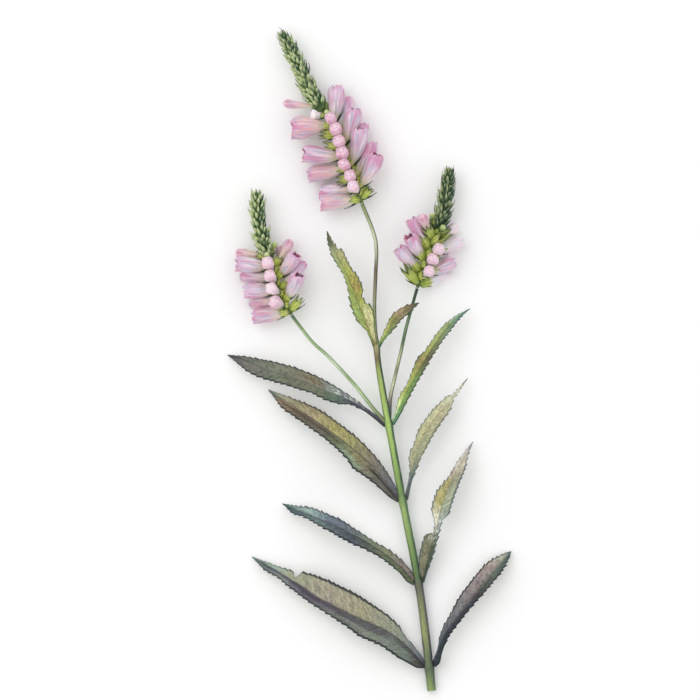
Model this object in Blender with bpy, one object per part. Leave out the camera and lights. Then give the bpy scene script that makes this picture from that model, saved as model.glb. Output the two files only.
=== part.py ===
# A cut stem of obedient plant with three flower spikes and five pairs of leaves, laid down on a flat surface.
# Metres, +Z up. The stem lies along +Y with its cut end at -Y, and the surface that it lies on is Z = 0.
import math

import bmesh
import bpy
from mathutils import Vector

UP = Vector((0.0, 0.0, 1.0))
WELD = 1e-6  # points closer than this are one point, and the least bend
SEAT_GAP = 0.0003  # clearance between two pieces that touch on the real plant

# The stem: a square section with rounded corners that thins towards its top
STEM_ROUTE = (
    (0.0400, -0.2145, 0.0029),
    (0.0370, -0.1862, 0.0036),
    (0.0315, -0.1449, 0.0050),
    (0.0211, -0.0910, 0.0070),
    (0.0140, -0.0520, 0.0086),
    (0.0062, -0.0084, 0.0104),
    (0.0039, 0.0117, 0.0112),
    (0.0026, 0.0338, 0.0120),
    (0.0034, 0.0572, 0.0126),
    (0.0039, 0.0728, 0.0130),
    (0.0019, 0.0845, 0.0132),
    (-0.0055, 0.1030, 0.0134),
)
STEM_GIRTH = ((0.0, 0.0029), (0.100, 0.0025), (0.175, 0.0024), (0.225, 0.0020), (0.240, 0.0012), (0.33, 0.0012))
STEM_SECTION = (
    (1.0, 0.62), (0.62, 1.0), (-0.62, 1.0), (-1.0, 0.62),
    (-1.0, -0.62), (-0.62, -1.0), (0.62, -1.0), (1.0, -0.62),
)
STEM_NODES = (0.016, 0.071, 0.126, 0.176, 0.228)  # distances from the cut end where leaves and branches join
NODE_SWELL = 1.14
NODE_REACH = 0.005
STEM_STEP = 0.016
LEFT_BRANCH = (
    (0.0108, -0.0400, 0.0092),
    (0.0033, -0.0321, 0.0097),
    (-0.0108, -0.0143, 0.0106),
    (-0.0274, 0.0035, 0.0116),
    (-0.0382, 0.0135, 0.0124),
    (-0.0512, 0.0303, 0.0134),
)
RIGHT_BRANCH = (
    (0.0122, -0.0390, 0.0092),
    (0.0131, -0.0231, 0.0103),
    (0.0159, -0.0100, 0.0112),
    (0.0198, 0.0065, 0.0121),
    (0.0237, 0.0240, 0.0128),
    (0.0304, 0.0480, 0.0134),
)
BRANCH_GIRTH = ((0.0, 0.0013), (0.100, 0.0010))
BRANCH_STEP = 0.009

# The leaves. "node" is the stem node that a leaf grows from, and "seat" the angle round the stem there, from its
# right-hand side. "rib" is the rest of the midrib to the tip, seen from above, and "heights" are the rib's at two
# fifths of its length and at the tip. "left" and "right" are the halves as the stem sees them: how far each one
# reaches from the midrib, seen from above, at shares of the rib's length. "rise" is the angle at which the left
# and the right half rise from the midrib, in degrees, and "plain" the share of the length before the teeth start.
LEAVES = {
    "leaf_1_left": {
        "node": 0, "seat": 170,
        "rib": (
            (0.0172, -0.1794), (-0.0081, -0.1670), (-0.0328, -0.1547),
            (-0.0549, -0.1397), (-0.0774, -0.1274),
        ),
        "heights": (0.0088, 0.0018), "rise": (38, 2), "plain": 0.14,
        "left": (
            (0.00, 0.0013), (0.03, 0.0048), (0.16, 0.0092), (0.35, 0.0096), (0.45, 0.0071),
            (0.60, 0.0050), (0.75, 0.0044), (0.85, 0.0029), (0.90, 0.0032), (1.00, 0.0),
        ),
        "right": (
            (0.00, 0.0013), (0.06, 0.0028), (0.16, 0.0036), (0.22, 0.0068), (0.35, 0.0114), (0.50, 0.0138),
            (0.60, 0.0134), (0.75, 0.0078), (0.77, 0.0015), (0.79, 0.0048), (0.85, 0.0026), (1.00, 0.0),
        ),
    },
    "leaf_1_right": {
        "node": 0, "seat": 10,
        "rib": (
            (0.0484, -0.1774), (0.0582, -0.1644), (0.0686, -0.1508),
            (0.0796, -0.1372), (0.0920, -0.1238),
        ),
        "heights": (0.0105, 0.0022), "rise": (-12, 58), "plain": 0.24,
        "left": (
            (0.00, 0.0013), (0.12, 0.0008), (0.20, 0.0017), (0.40, 0.0048),
            (0.55, 0.0070), (0.80, 0.0070), (0.90, 0.0048), (0.97, 0.0033), (1.00, 0.0),
        ),
        "right": (
            (0.00, 0.0013), (0.05, 0.0030), (0.12, 0.0025), (0.50, 0.0025),
            (0.65, 0.0034), (0.80, 0.0038), (0.97, 0.0025), (1.00, 0.0),
        ),
    },
    "leaf_2_left": {
        "node": 1, "seat": 170,
        "rib": (
            (0.0192, -0.1332), (0.0062, -0.1228), (-0.0133, -0.1115),
            (-0.0328, -0.1027), (-0.0575, -0.0926),
        ),
        "heights": (0.0128, 0.0030), "rise": (60, -30), "plain": 0.18,
        "left": (
            (0.00, 0.0013), (0.06, 0.0030), (0.16, 0.0027), (0.40, 0.0036), (0.50, 0.0046),
            (0.60, 0.0042), (0.72, 0.0031), (0.85, 0.0019), (0.90, 0.0026), (1.00, 0.0),
        ),
        "right": (
            (0.00, 0.0013), (0.05, 0.0033), (0.25, 0.0033), (0.35, 0.0026),
            (0.50, 0.0034), (0.62, 0.0049), (0.80, 0.0045), (0.90, 0.0019), (1.00, 0.0),
        ),
    },
    "leaf_2_right": {
        "node": 1, "seat": 12,
        "rib": (
            (0.0387, -0.1222), (0.0429, -0.1079), (0.0478, -0.0897),
            (0.0562, -0.0702), (0.0670, -0.0520),
        ),
        "heights": (0.0142, 0.0040), "rise": (-12, 50), "plain": 0.12,
        "left": (
            (0.00, 0.0013), (0.10, 0.0040), (0.20, 0.0056), (0.31, 0.0054), (0.34, 0.0008),
            (0.40, 0.0014), (0.50, 0.0059), (0.58, 0.0060), (0.72, 0.0023), (0.85, 0.0013), (1.00, 0.0),
        ),
        "right": (
            (0.00, 0.0013), (0.08, 0.0017), (0.25, 0.0027), (0.42, 0.0020),
            (0.49, 0.0050), (0.65, 0.0048), (0.80, 0.0040), (0.90, 0.0015), (1.00, 0.0),
        ),
    },
    "leaf_3_left": {
        "node": 2, "seat": 168,
        "rib": (
            (0.0062, -0.0734), (-0.0068, -0.0604), (-0.0263, -0.0452),
            (-0.0458, -0.0318), (-0.0666, -0.0182),
        ),
        "heights": (0.0136, 0.0030), "rise": (44, -12), "plain": 0.16,
        "left": (
            (0.00, 0.0013), (0.06, 0.0040), (0.16, 0.0058), (0.34, 0.0089), (0.37, 0.0074),
            (0.50, 0.0057), (0.65, 0.0050), (0.85, 0.0046), (0.94, 0.0021), (1.00, 0.0),
        ),
        "right": (
            (0.00, 0.0013), (0.05, 0.0030), (0.16, 0.0041), (0.30, 0.0059),
            (0.45, 0.0072), (0.67, 0.0074), (0.75, 0.0061), (0.85, 0.0035), (1.00, 0.0),
        ),
    },
    "leaf_3_right": {
        "node": 2, "seat": 12,
        "rib": (
            (0.0270, -0.0728), (0.0302, -0.0585), (0.0354, -0.0461),
            (0.0439, -0.0344), (0.0523, -0.0247), (0.0634, -0.0107),
        ),
        "heights": (0.0142, 0.0050), "rise": (-6, 38), "plain": 0.22,
        "left": (
            (0.00, 0.0013), (0.18, 0.0012), (0.32, 0.0038), (0.40, 0.0030),
            (0.50, 0.0042), (0.65, 0.0042), (0.80, 0.0028), (0.83, 0.0006), (1.00, 0.0),
        ),
        "right": (
            (0.00, 0.0013), (0.14, 0.0010), (0.30, 0.0030), (0.45, 0.0049),
            (0.60, 0.0046), (0.75, 0.0032), (0.83, 0.0005), (1.00, 0.0),
        ),
    },
    "leaf_4_left": {
        "node": 3, "seat": 168,
        "rib": (
            (-0.0068, -0.0283), (-0.0250, -0.0205), (-0.0458, -0.0114),
            (-0.0653, -0.0055), (-0.0933, 0.0046),
        ),
        "heights": (0.0146, 0.0030), "rise": (34, -6), "plain": 0.24,
        "left": (
            (0.00, 0.0013), (0.22, 0.0016), (0.30, 0.0045), (0.38, 0.0050), (0.45, 0.0048),
            (0.55, 0.0058), (0.80, 0.0060), (0.90, 0.0037), (0.97, 0.0010), (1.00, 0.0),
        ),
        "right": (
            (0.00, 0.0013), (0.14, 0.0009), (0.22, 0.0017), (0.40, 0.0054),
            (0.60, 0.0061), (0.72, 0.0058), (0.85, 0.0037), (1.00, 0.0),
        ),
    },
    "leaf_4_right": {
        "node": 3, "seat": 12,
        "rib": (
            (0.0237, -0.0188), (0.0315, -0.0052), (0.0393, 0.0078),
            (0.0484, 0.0208), (0.0588, 0.0312), (0.0650, 0.0348),
        ),
        "heights": (0.0168, 0.0060), "rise": (-12, 50), "plain": 0.12,
        "left": (
            (0.00, 0.0013), (0.08, 0.0009), (0.20, 0.0024), (0.30, 0.0017), (0.40, 0.0030),
            (0.50, 0.0044), (0.55, 0.0026), (0.75, 0.0022), (0.85, 0.0012), (1.00, 0.0),
        ),
        "right": ((0.00, 0.0013), (0.10, 0.0023), (0.35, 0.0027), (0.80, 0.0024), (0.90, 0.0012), (1.00, 0.0)),
    },
    "leaf_5_left": {
        "node": 4, "seat": 125,
        "rib": (
            (-0.0036, 0.0273), (-0.0088, 0.0403), (-0.0133, 0.0514),
            (-0.0211, 0.0682), (-0.0283, 0.0851),
        ),
        "heights": (0.0205, 0.0140), "rise": (26, 6), "plain": 0.08,
        "left": (
            (0.00, 0.0013), (0.12, 0.0012), (0.27, 0.0050), (0.36, 0.0050),
            (0.46, 0.0033), (0.62, 0.0015), (0.80, 0.0030), (0.90, 0.0022), (1.00, 0.0),
        ),
        "right": (
            (0.00, 0.0013), (0.08, 0.0027), (0.30, 0.0070), (0.36, 0.0042), (0.40, 0.0036),
            (0.47, 0.0060), (0.55, 0.0062), (0.66, 0.0042), (0.80, 0.0042), (0.84, 0.0012), (1.00, 0.0),
        ),
    },
    "leaf_5_right": {
        "node": 4, "seat": 40,
        "rib": ((0.0107, 0.0195), (0.0166, 0.0286), (0.0244, 0.0348), (0.0315, 0.0383)),
        "heights": (0.0205, 0.0192), "rise": (-4, 40), "plain": 0.12,
        "left": ((0.00, 0.0013), (0.12, 0.0010), (0.35, 0.0017), (0.55, 0.0027), (0.80, 0.0019), (1.00, 0.0)),
        "right": ((0.00, 0.0013), (0.15, 0.0011), (0.30, 0.0021), (0.55, 0.0030), (0.80, 0.0024), (1.00, 0.0)),
    },
}
LEAF_THICKNESS = 0.0008
LEAF_STALK = 0.0013  # half width of a leaf where it meets the stem
PLAIN_STEP = 0.07  # share of the length between the margin's points before its teeth start
TEETH_A_SIDE = 9
TOOTH_DEPTH = 0.0009
TOOTH_LEAN = 0.55  # how far a tooth points forward, as a share of the teeth's spacing
RIB_STEPS = 8

# The spikes. Florets stand in four ranks, in opposite pairs that turn a quarter from each tier to the next.
# "states" gives each rank's florets from the lowest: o open, p a loose pink bud, f a full bud grown fast to
# the spike, b a young bud, smaller than the one below it, and c an empty calyx. "turn" is the front rank's angle
# from the right-hand side at the first, middle and last tier. "lean" is the angle between floret and rachis at the
# first and last tier, "bend" how far the floret then curves towards the spike's tip, and "sway" how far every
# other floret swings to either side. Angles are in degrees.
SPIKES = {
    "top": {
        "rachis": (
            (-0.0055, 0.1033, 0.0134), (-0.0099, 0.1187, 0.0136),
            (-0.0149, 0.1286, 0.0136), (-0.0183, 0.1394, 0.0135),
            (-0.0232, 0.1502, 0.0132), (-0.0315, 0.1638, 0.0126),
            (-0.0415, 0.1808, 0.0117), (-0.0514, 0.2024, 0.0106),
            (-0.0560, 0.2108, 0.0100),
        ),
        "pitch": 0.0074, "first": 0.0028, "turn": (104, 92, 66), "tip_tiers": 12,
        "ranks": {
            "right": {
                "states": "cooooooob", "lean": (64, 50), "bend": 32,
                "length": 0.0268, "girth": 1.10, "sway": 16,
            },
            "front": {
                "states": "pppppppb", "lean": (72, 60), "bend": 6, "length": 0.0200, "girth": 1.0, "sway": 0,
            },
            "left": {
                "states": "oocooccobp", "lean": (84, 58), "bend": 6,
                "length": 0.0275, "girth": 1.10, "sway": 10,
            },
            "back": {
                "states": "fffffffb", "lean": (62, 50), "bend": 36,
                "length": 0.0206, "girth": 1.0, "sway": 0,
            },
        },
    },
    "left": {
        "rachis": (
            (-0.0514, 0.0306, 0.0134), (-0.0567, 0.0418, 0.0136),
            (-0.0599, 0.0499, 0.0136), (-0.0630, 0.0611, 0.0134),
            (-0.0680, 0.0735, 0.0128), (-0.0723, 0.0884, 0.0118), (-0.0742, 0.1070, 0.0106),
        ),
        "pitch": 0.0078, "first": 0.0026, "turn": (115, 104, 90), "tip_tiers": 8,
        "ranks": {
            "right": {
                "states": "cooopb", "lean": (70, 64), "bend": 20, "length": 0.0235, "girth": 1.0, "sway": 15,
            },
            "front": {
                "states": "ppppb", "lean": (70, 60), "bend": 6, "length": 0.0195, "girth": 1.0, "sway": 0,
            },
            "left": {
                "states": "ooooop", "lean": (74, 66), "bend": 4, "length": 0.0245, "girth": 1.0, "sway": 12,
            },
            "back": {
                "states": "ffffb", "lean": (62, 52), "bend": 36, "length": 0.0205, "girth": 1.0, "sway": 0,
            },
        },
    },
    "right": {
        "rachis": (
            (0.0305, 0.0483, 0.0134), (0.0333, 0.0582, 0.0136),
            (0.0360, 0.0675, 0.0136), (0.0393, 0.0741, 0.0135),
            (0.0419, 0.0827, 0.0132), (0.0447, 0.0894, 0.0128),
            (0.0473, 0.0980, 0.0120), (0.0493, 0.1113, 0.0110),
            (0.0511, 0.1218, 0.0104),
        ),
        "pitch": 0.0078, "first": 0.0026, "turn": (68, 66, 63), "tip_tiers": 8,
        "ranks": {
            "right": {
                "states": "oooop", "lean": (64, 58), "bend": 18, "length": 0.0225, "girth": 0.95, "sway": 14,
            },
            "front": {
                "states": "pppcb", "lean": (68, 60), "bend": 6, "length": 0.0185, "girth": 0.95, "sway": 0,
            },
            "left": {
                "states": "cooopb", "lean": (66, 58), "bend": 12, "length": 0.0235, "girth": 0.95, "sway": 15,
            },
            "back": {
                "states": "ffffb", "lean": (62, 52), "bend": 36, "length": 0.0206, "girth": 1.0, "sway": 0,
            },
        },
    },
}
RANK_TURNS = {"right": -90, "front": 0, "left": 90, "back": 180}
RACHIS_RADIUS = (0.0012, 0.0010)
RACHIS_STEPS = 12
BUD_SHRINK = 0.62  # each young bud is this share of the one below it
PINK_SHARE = 0.9  # a loose pink bud's length as a share of its rank's open florets
YOUNG_BUD = 0.0165  # the length that young buds shrink from

CALYX_SIDES = 8
CALYX_ROOT = 0.0006
CALYX_FLOOR = 0.0034
CALYX_RIM = 0.0054
CALYX_TOOTH = 0.0022
CALYX_RADIUS = 0.0023
CALYX_FOOT = 0.0009
BRACT_LENGTH = 0.0068
BRACT_RADIUS = 0.0009
BRACT_ROOT = 0.0013  # how far below its calyx a bract grows from the rachis
BRACT_DROP = 24  # degrees that a bract leans away from its calyx

FLORET_SIDES = 10
FLORET_FOOT = 0.0008
FLORET_FOOT_AT = 0.0050
THROAT_RADIUS = 0.0035
LIP_WALL = 0.0006
# Lips round the mouth, from the top of the hood: how far each point reaches forward and how far it flares out
LIP_REACH = (1.00, 0.86, 0.22, 0.62, 0.28, 0.95)
LIP_FLARE = (0.05, 0.10, 0.10, 0.75, 0.30, 0.45)
LIP_LENGTH = 0.0042
LIP_SPREAD = 0.0016
BUD_SIDES = 8
BUD_RADIUS = 0.0033
FAST_BUD_RADIUS = 0.0028
FAST_BUD_SIDES = 6

TIP_OVERLAP = 1.35  # how many of the upper tiers stand among the tip's lowest buds
TIP_BUDS = 4
TIP_BUD_LENGTH = (0.0104, 0.0086)
TIP_BUD_RADIUS = (0.0023, 0.0019)
TIP_LEAN = (52, 46)
TIP_CORE = (0.0036, 0.0028)


class Route:
    """A smooth line through points set by hand, read by the distance along it."""

    def __init__(self, points, steps=12):
        hand = [Vector(p) for p in points]
        ends = [2 * hand[0] - hand[1], *hand, 2 * hand[-1] - hand[-2]]
        self.line = [hand[0]]
        for before, start, end, after in zip(ends, ends[1:], ends[2:], ends[3:]):
            for step in range(1, steps + 1):
                t = step / steps
                bend = (2 * before - 5 * start + 4 * end - after) * t * t
                twist = (3 * start - before - 3 * end + after) * t ** 3
                self.line.append((2 * start + (end - before) * t + bend + twist) / 2)
        self.marks = [0.0]
        for a, b in zip(self.line, self.line[1:]):
            self.marks.append(self.marks[-1] + (b - a).length)
        self.length = self.marks[-1]

    def point(self, distance):
        distance = min(max(distance, 0.0), self.length)
        index = next(i for i, mark in enumerate(self.marks[1:]) if distance <= mark + WELD)
        span = self.marks[index + 1] - self.marks[index]
        return self.line[index].lerp(self.line[index + 1], (distance - self.marks[index]) / span)

    def frame(self, distance):
        """The direction along the line, the one to its right seen from above, and the one square to both."""
        reach = self.length / 60
        along = (self.point(distance + reach) - self.point(distance - reach)).normalized()
        right = along.cross(UP).normalized()
        return along, right, right.cross(along)


def blend(pair, share):
    return pair[0] + (pair[1] - pair[0]) * min(max(share, 0.0), 1.0)


def read_table(table, at):
    """A value from rows of (position, value), with straight lines between them."""
    for (left, low), (right, high) in zip(table, table[1:]):
        if at <= right:
            return blend((low, high), (at - left) / (right - left))
    return table[-1][1]


def clear_scene():
    for obj in list(bpy.data.objects):
        bpy.data.objects.remove(obj)


def make_material(name, colour, roughness):
    material = bpy.data.materials.new(name)
    material.use_nodes = True
    shader = material.node_tree.nodes["Principled BSDF"]
    shader.inputs["Base Color"].default_value = (*colour, 1.0)
    shader.inputs["Roughness"].default_value = roughness
    shader.inputs["Metallic"].default_value = 0.0
    return material


def make_object(name, bm, material, collection=None):
    mesh = bpy.data.meshes.new(name)
    bm.to_mesh(mesh)
    bm.free()
    mesh.materials.append(material)
    obj = bpy.data.objects.new(name, mesh)
    (collection or bpy.context.scene.collection).objects.link(obj)
    return obj


def roll_up(columns, rows, place):
    """A closed body: a grid rolled into a tube, with place(column, row) giving each point. A first or last
    row whose points are all one becomes a pole, and otherwise it is closed with a cap."""
    bm = bmesh.new()
    bmesh.ops.create_grid(bm, x_segments=columns, y_segments=rows, size=0.5)
    for vert in bm.verts:
        column = round((vert.co.x + 0.5) * columns) % columns
        row = round((vert.co.y + 0.5) * rows)
        vert.co = place(column, row)
    bmesh.ops.remove_doubles(bm, verts=bm.verts, dist=WELD)
    bmesh.ops.holes_fill(bm, edges=[edge for edge in bm.edges if edge.is_boundary], sides=0)
    bmesh.ops.recalc_face_normals(bm, faces=bm.faces)
    return bm


def ring_point(column, columns, start=0.0):
    angle = start + 2 * math.pi * column / columns
    return math.cos(angle), math.sin(angle)


def join_all(base, collection):
    """Unites every object of the collection with base, applies that, and removes them."""
    union = base.modifiers.new("Union", "BOOLEAN")
    union.operation = "UNION"
    union.operand_type = "COLLECTION"
    union.collection = collection
    union.solver = "MANIFOLD"
    graph = bpy.context.evaluated_depsgraph_get()
    joined = bpy.data.meshes.new_from_object(base.evaluated_get(graph))
    base.modifiers.clear()
    base.data = joined
    for obj in list(collection.objects):
        bpy.data.objects.remove(obj)
    bpy.data.collections.remove(collection)
    return base


def new_collection(name):
    collection = bpy.data.collections.new(name)
    bpy.context.scene.collection.children.link(collection)
    return collection


def smooth_shade(obj, angle=50):
    obj.data.shade_smooth()
    obj.data.set_sharp_from_angle(angle=math.radians(angle))


# The stem and its two branches, grown as one
def stem_radius(distance):
    radius = read_table(STEM_GIRTH, distance)
    nearest = min(abs(distance - node) for node in STEM_NODES)
    return radius * blend((NODE_SWELL, 1.0), nearest / NODE_REACH)


def stem_rows(length):
    rows = {0.0, length}
    rows.update(STEM_STEP * i for i in range(1, int(length / STEM_STEP)))
    for node in STEM_NODES:
        rows = {row for row in rows if abs(row - node) > NODE_REACH * 1.2}
        rows.update((node - NODE_REACH, node, node + NODE_REACH))
    return sorted(rows)


def make_stem(material):
    route = Route(STEM_ROUTE)
    rows = stem_rows(route.length)

    def place(column, row):
        _, right, out = route.frame(rows[row])
        radius = stem_radius(rows[row])
        across, high = STEM_SECTION[column]
        return route.point(rows[row]) + (right * across + out * high) * radius

    stem = make_object("stem", roll_up(len(STEM_SECTION), len(rows) - 1, place), material)
    branches = new_collection("branches")
    for name, points in (("left branch", LEFT_BRANCH), ("right branch", RIGHT_BRANCH)):
        make_object(name, branch_body(Route(points)), material, branches)
    smooth_shade(join_all(stem, branches), 40)


def branch_body(route):
    count = round(route.length / BRANCH_STEP)
    sides = 6

    def place(column, row):
        distance = route.length * row / count
        _, right, out = route.frame(distance)
        across, high = ring_point(column, sides)
        return route.point(distance) + (right * across + out * high) * read_table(BRANCH_GIRTH, distance)

    return roll_up(sides, count, place)


# A leaf: a toothed lance-shaped blade, folded a little along its midrib
def leaf_root(leaf):
    """Where a leaf's midrib starts, just clear of the stem at its node."""
    stem = Route(STEM_ROUTE)
    distance = STEM_NODES[leaf["node"]]
    centre = stem.point(distance)
    along, right, out = stem.frame(distance)
    seat = math.radians(leaf["seat"])
    outward = right * math.cos(seat) + out * math.sin(seat)
    reach = max(x * math.cos(seat) + y * math.sin(seat) for x, y in STEM_SECTION) * stem_radius(distance)
    first = leaf["rib"][0]
    slant = abs((Vector((*first, centre.z)) - centre).normalized().dot(along))
    return centre + outward * (reach + SEAT_GAP + LEAF_STALK * slant)


def rib_route(leaf):
    """The midrib in space: its points seen from above, raised by a curve through the three heights."""
    root = leaf_root(leaf)
    seen = Route([(root.x, root.y, 0.0)] + [(x, y, 0.0) for x, y in leaf["rib"]])
    low = root.z
    top, tip = leaf["heights"]
    points = []
    for step in range(RIB_STEPS + 1):
        share = step / RIB_STEPS
        rise = low * (0.4 - share) * (1.0 - share) / 0.4 + top * share * (1.0 - share) / 0.24
        points.append(seen.point(seen.length * share) + UP * (rise + tip * share * (share - 0.4) / 0.6))
    return Route(points, steps=4)


def margin(leaf, side):
    """One half's edge from stem to tip, as (share of the length, distance from the midrib), with a saw of teeth."""
    first, last = leaf["plain"], 0.94
    plain = max(round(first / PLAIN_STEP), 1)
    edge = [(first * step / plain, read_table(leaf[side], first * step / plain)) for step in range(plain)]
    spacing = (last - first) / TEETH_A_SIDE
    for tooth in range(TEETH_A_SIDE):
        notch = first + spacing * tooth
        point = notch + spacing * (1 + TOOTH_LEAN) / 2
        edge.append((notch, read_table(leaf[side], notch)))
        edge.append((point, read_table(leaf[side], point) + TOOTH_DEPTH))
    edge.append((last + spacing * 0.2, read_table(leaf[side], last + spacing * 0.2)))
    return edge


def blade_point(route, leaf, share, across):
    """A point of the blade: across is its distance from the midrib, to the right of it if positive."""
    distance = route.length * share
    _, right, _ = route.frame(distance)
    rise = math.radians(leaf["rise"][1 if across > 0 else 0])
    return route.point(distance) + right * across + UP * abs(across) * math.tan(rise)


def make_leaf(name, leaf, material):
    route = rib_route(leaf)
    bm = bmesh.new()
    rib = [bm.verts.new((0.0, step / RIB_STEPS, 0.0)) for step in range(RIB_STEPS + 1)]
    scale = route.length
    for side, sign in (("left", -1), ("right", 1)):
        edge = [bm.verts.new((sign * wide / scale, share, 0.0)) for share, wide in margin(leaf, side)]
        outline = [*rib, *reversed(edge)]
        bm.faces.new(outline if sign < 0 else list(reversed(outline)))
    bmesh.ops.triangulate(bm, faces=bm.faces, ngon_method="BEAUTY")
    bmesh.ops.recalc_face_normals(bm, faces=bm.faces)
    for vert in bm.verts:
        vert.co = blade_point(route, leaf, vert.co.y, vert.co.x * scale)
    obj = make_object(name, bm, material)
    thick = obj.modifiers.new("Thickness", "SOLIDIFY")
    thick.thickness = LEAF_THICKNESS
    thick.offset = 0.0
    smooth_shade(obj, 35)


class Floret:
    """A floret's own frame: across, up towards the spike's tip, and along the floret, which curves up."""

    def __init__(self, route, distance, turn, lean, bend=0.0, length=0.02):
        forward, right, out = route.frame(distance)
        spoke = right * math.cos(turn) + out * math.sin(turn)
        self.axis = forward * math.cos(lean) + spoke * math.sin(lean)
        self.top = forward * math.sin(lean) - spoke * math.cos(lean)
        self.side = self.top.cross(self.axis)
        self.root = route.point(distance)
        self.length = length
        self.curve = max(bend, WELD) / length

    def point(self, across, up, along):
        angle = self.curve * along
        up_axis = self.top * math.cos(angle) - self.axis * math.sin(angle)
        centre = self.top * (1 - math.cos(angle)) + self.axis * math.sin(angle)
        return self.root + centre / self.curve + self.side * across + up_axis * up


def calyx_rim(column, size):
    """Length and radius of the calyx's toothed rim at a column."""
    if column % 2:
        return CALYX_RIM * size, CALYX_RADIUS * size
    return (CALYX_RIM + CALYX_TOOTH) * size, CALYX_RADIUS * size * 1.15


def calyx_body(floret):
    """A toothed funnel with its foot sunk in the rachis."""
    rows = ((CALYX_ROOT, 0.0), (CALYX_ROOT, CALYX_FOOT), None, (CALYX_FLOOR, 0.0))

    def place(column, row):
        across, up = ring_point(column, CALYX_SIDES, math.pi / 2)
        along, radius = rows[row] or calyx_rim(column, 1.0)
        return floret.point(across * radius, up * radius, along)

    return roll_up(CALYX_SIDES, len(rows) - 1, place)


def fast_bud_body(floret, size):
    """A bud and its calyx in one, with its foot sunk in the rachis."""
    start = CALYX_RIM * size
    radius = FAST_BUD_RADIUS * size
    reach = floret.length - start
    rows = (
        (CALYX_ROOT, 0.0), (CALYX_ROOT, CALYX_FOOT), None, (start, radius * 0.60),
        (start + reach * 0.60, radius), (start + reach * 0.90, radius * 0.78), (floret.length, 0.0),
    )

    def place(column, row):
        across, up = ring_point(column, FAST_BUD_SIDES, math.pi / 2)
        along, wide = rows[row] or calyx_rim(column, size)
        return floret.point(across * wide, up * wide, along)

    return roll_up(FAST_BUD_SIDES, len(rows) - 1, place)


def pink_bud_body(floret):
    """A loose corolla that hasn't opened: a tube that swells to a round closed end."""
    reach = floret.length - FLORET_FOOT_AT
    rows = (
        (CALYX_FLOOR + SEAT_GAP, 0.0), (FLORET_FOOT_AT, FLORET_FOOT),
        (FLORET_FOOT_AT + reach * 0.60, BUD_RADIUS * 0.95),
        (FLORET_FOOT_AT + reach * 0.90, BUD_RADIUS * 0.80), (floret.length, 0.0),
    )

    def place(column, row):
        across, up = ring_point(column, BUD_SIDES)
        along, wide = rows[row]
        return floret.point(across * wide, up * wide, along)

    return roll_up(BUD_SIDES, len(rows) - 1, place)


def open_floret_body(floret, girth):
    """A pink tube that widens to its throat, with a hood above the mouth and a three-lobed lip below it."""
    throat = floret.length - LIP_LENGTH
    middle = (FLORET_FOOT_AT + throat) / 2
    radius = THROAT_RADIUS * girth
    rows = (
        (CALYX_FLOOR + SEAT_GAP, 0.0), (FLORET_FOOT_AT, FLORET_FOOT),
        (middle, radius * 0.90), (throat, radius),
        None, None, (throat - LIP_WALL, radius - LIP_WALL), (middle, 0.0),
    )

    def place(column, row):
        across, up = ring_point(column, FLORET_SIDES, math.pi / 2)
        if rows[row]:
            along, wide = rows[row]
            return floret.point(across * wide, up * wide, along)
        inside = row - rows.index(None)
        lip = min(column, FLORET_SIDES - column)
        along = throat + LIP_LENGTH * LIP_REACH[lip]
        wide = radius + LIP_SPREAD * girth * LIP_FLARE[lip] - LIP_WALL * inside
        return floret.point(across * wide, up * wide, along)

    return roll_up(FLORET_SIDES, len(rows) - 1, place)


def scale_body(floret, length, radius, root=0.0, drop=0.0):
    """A small pointed scale of three sides. It grows at root below the floret and leans away by drop."""
    lean = math.tan(math.radians(drop))

    def place(column, row):
        across, up = ring_point(column, 3, -math.pi / 2)
        wide = radius * (0.6, 1.0, 0.0)[row]
        along = length * (-0.06, 0.45, 1.0)[row]
        return floret.point(across * wide, up * wide - root - along * lean, along)

    return roll_up(3, 2, place)


def rachis_body(route, flowering):
    """The spike's own stem, which swells into the core of the bud tip."""

    def place(column, row):
        distance = route.length * row / RACHIS_STEPS
        _, right, out = route.frame(distance)
        across, high = ring_point(column, 6)
        radius = blend(RACHIS_RADIUS, distance / flowering)
        if distance > flowering:
            radius = blend(TIP_CORE, (distance - flowering) / (route.length - flowering))
        return route.point(distance) + (right * across + out * high) * radius

    return roll_up(6, RACHIS_STEPS, place)


def front_turn(spike, share):
    """The front rank's angle round the rachis, which sways along the spike."""
    low, middle, high = spike["turn"]
    return blend((low, middle), share * 2) if share < 0.5 else blend((middle, high), share * 2 - 1)


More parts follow.
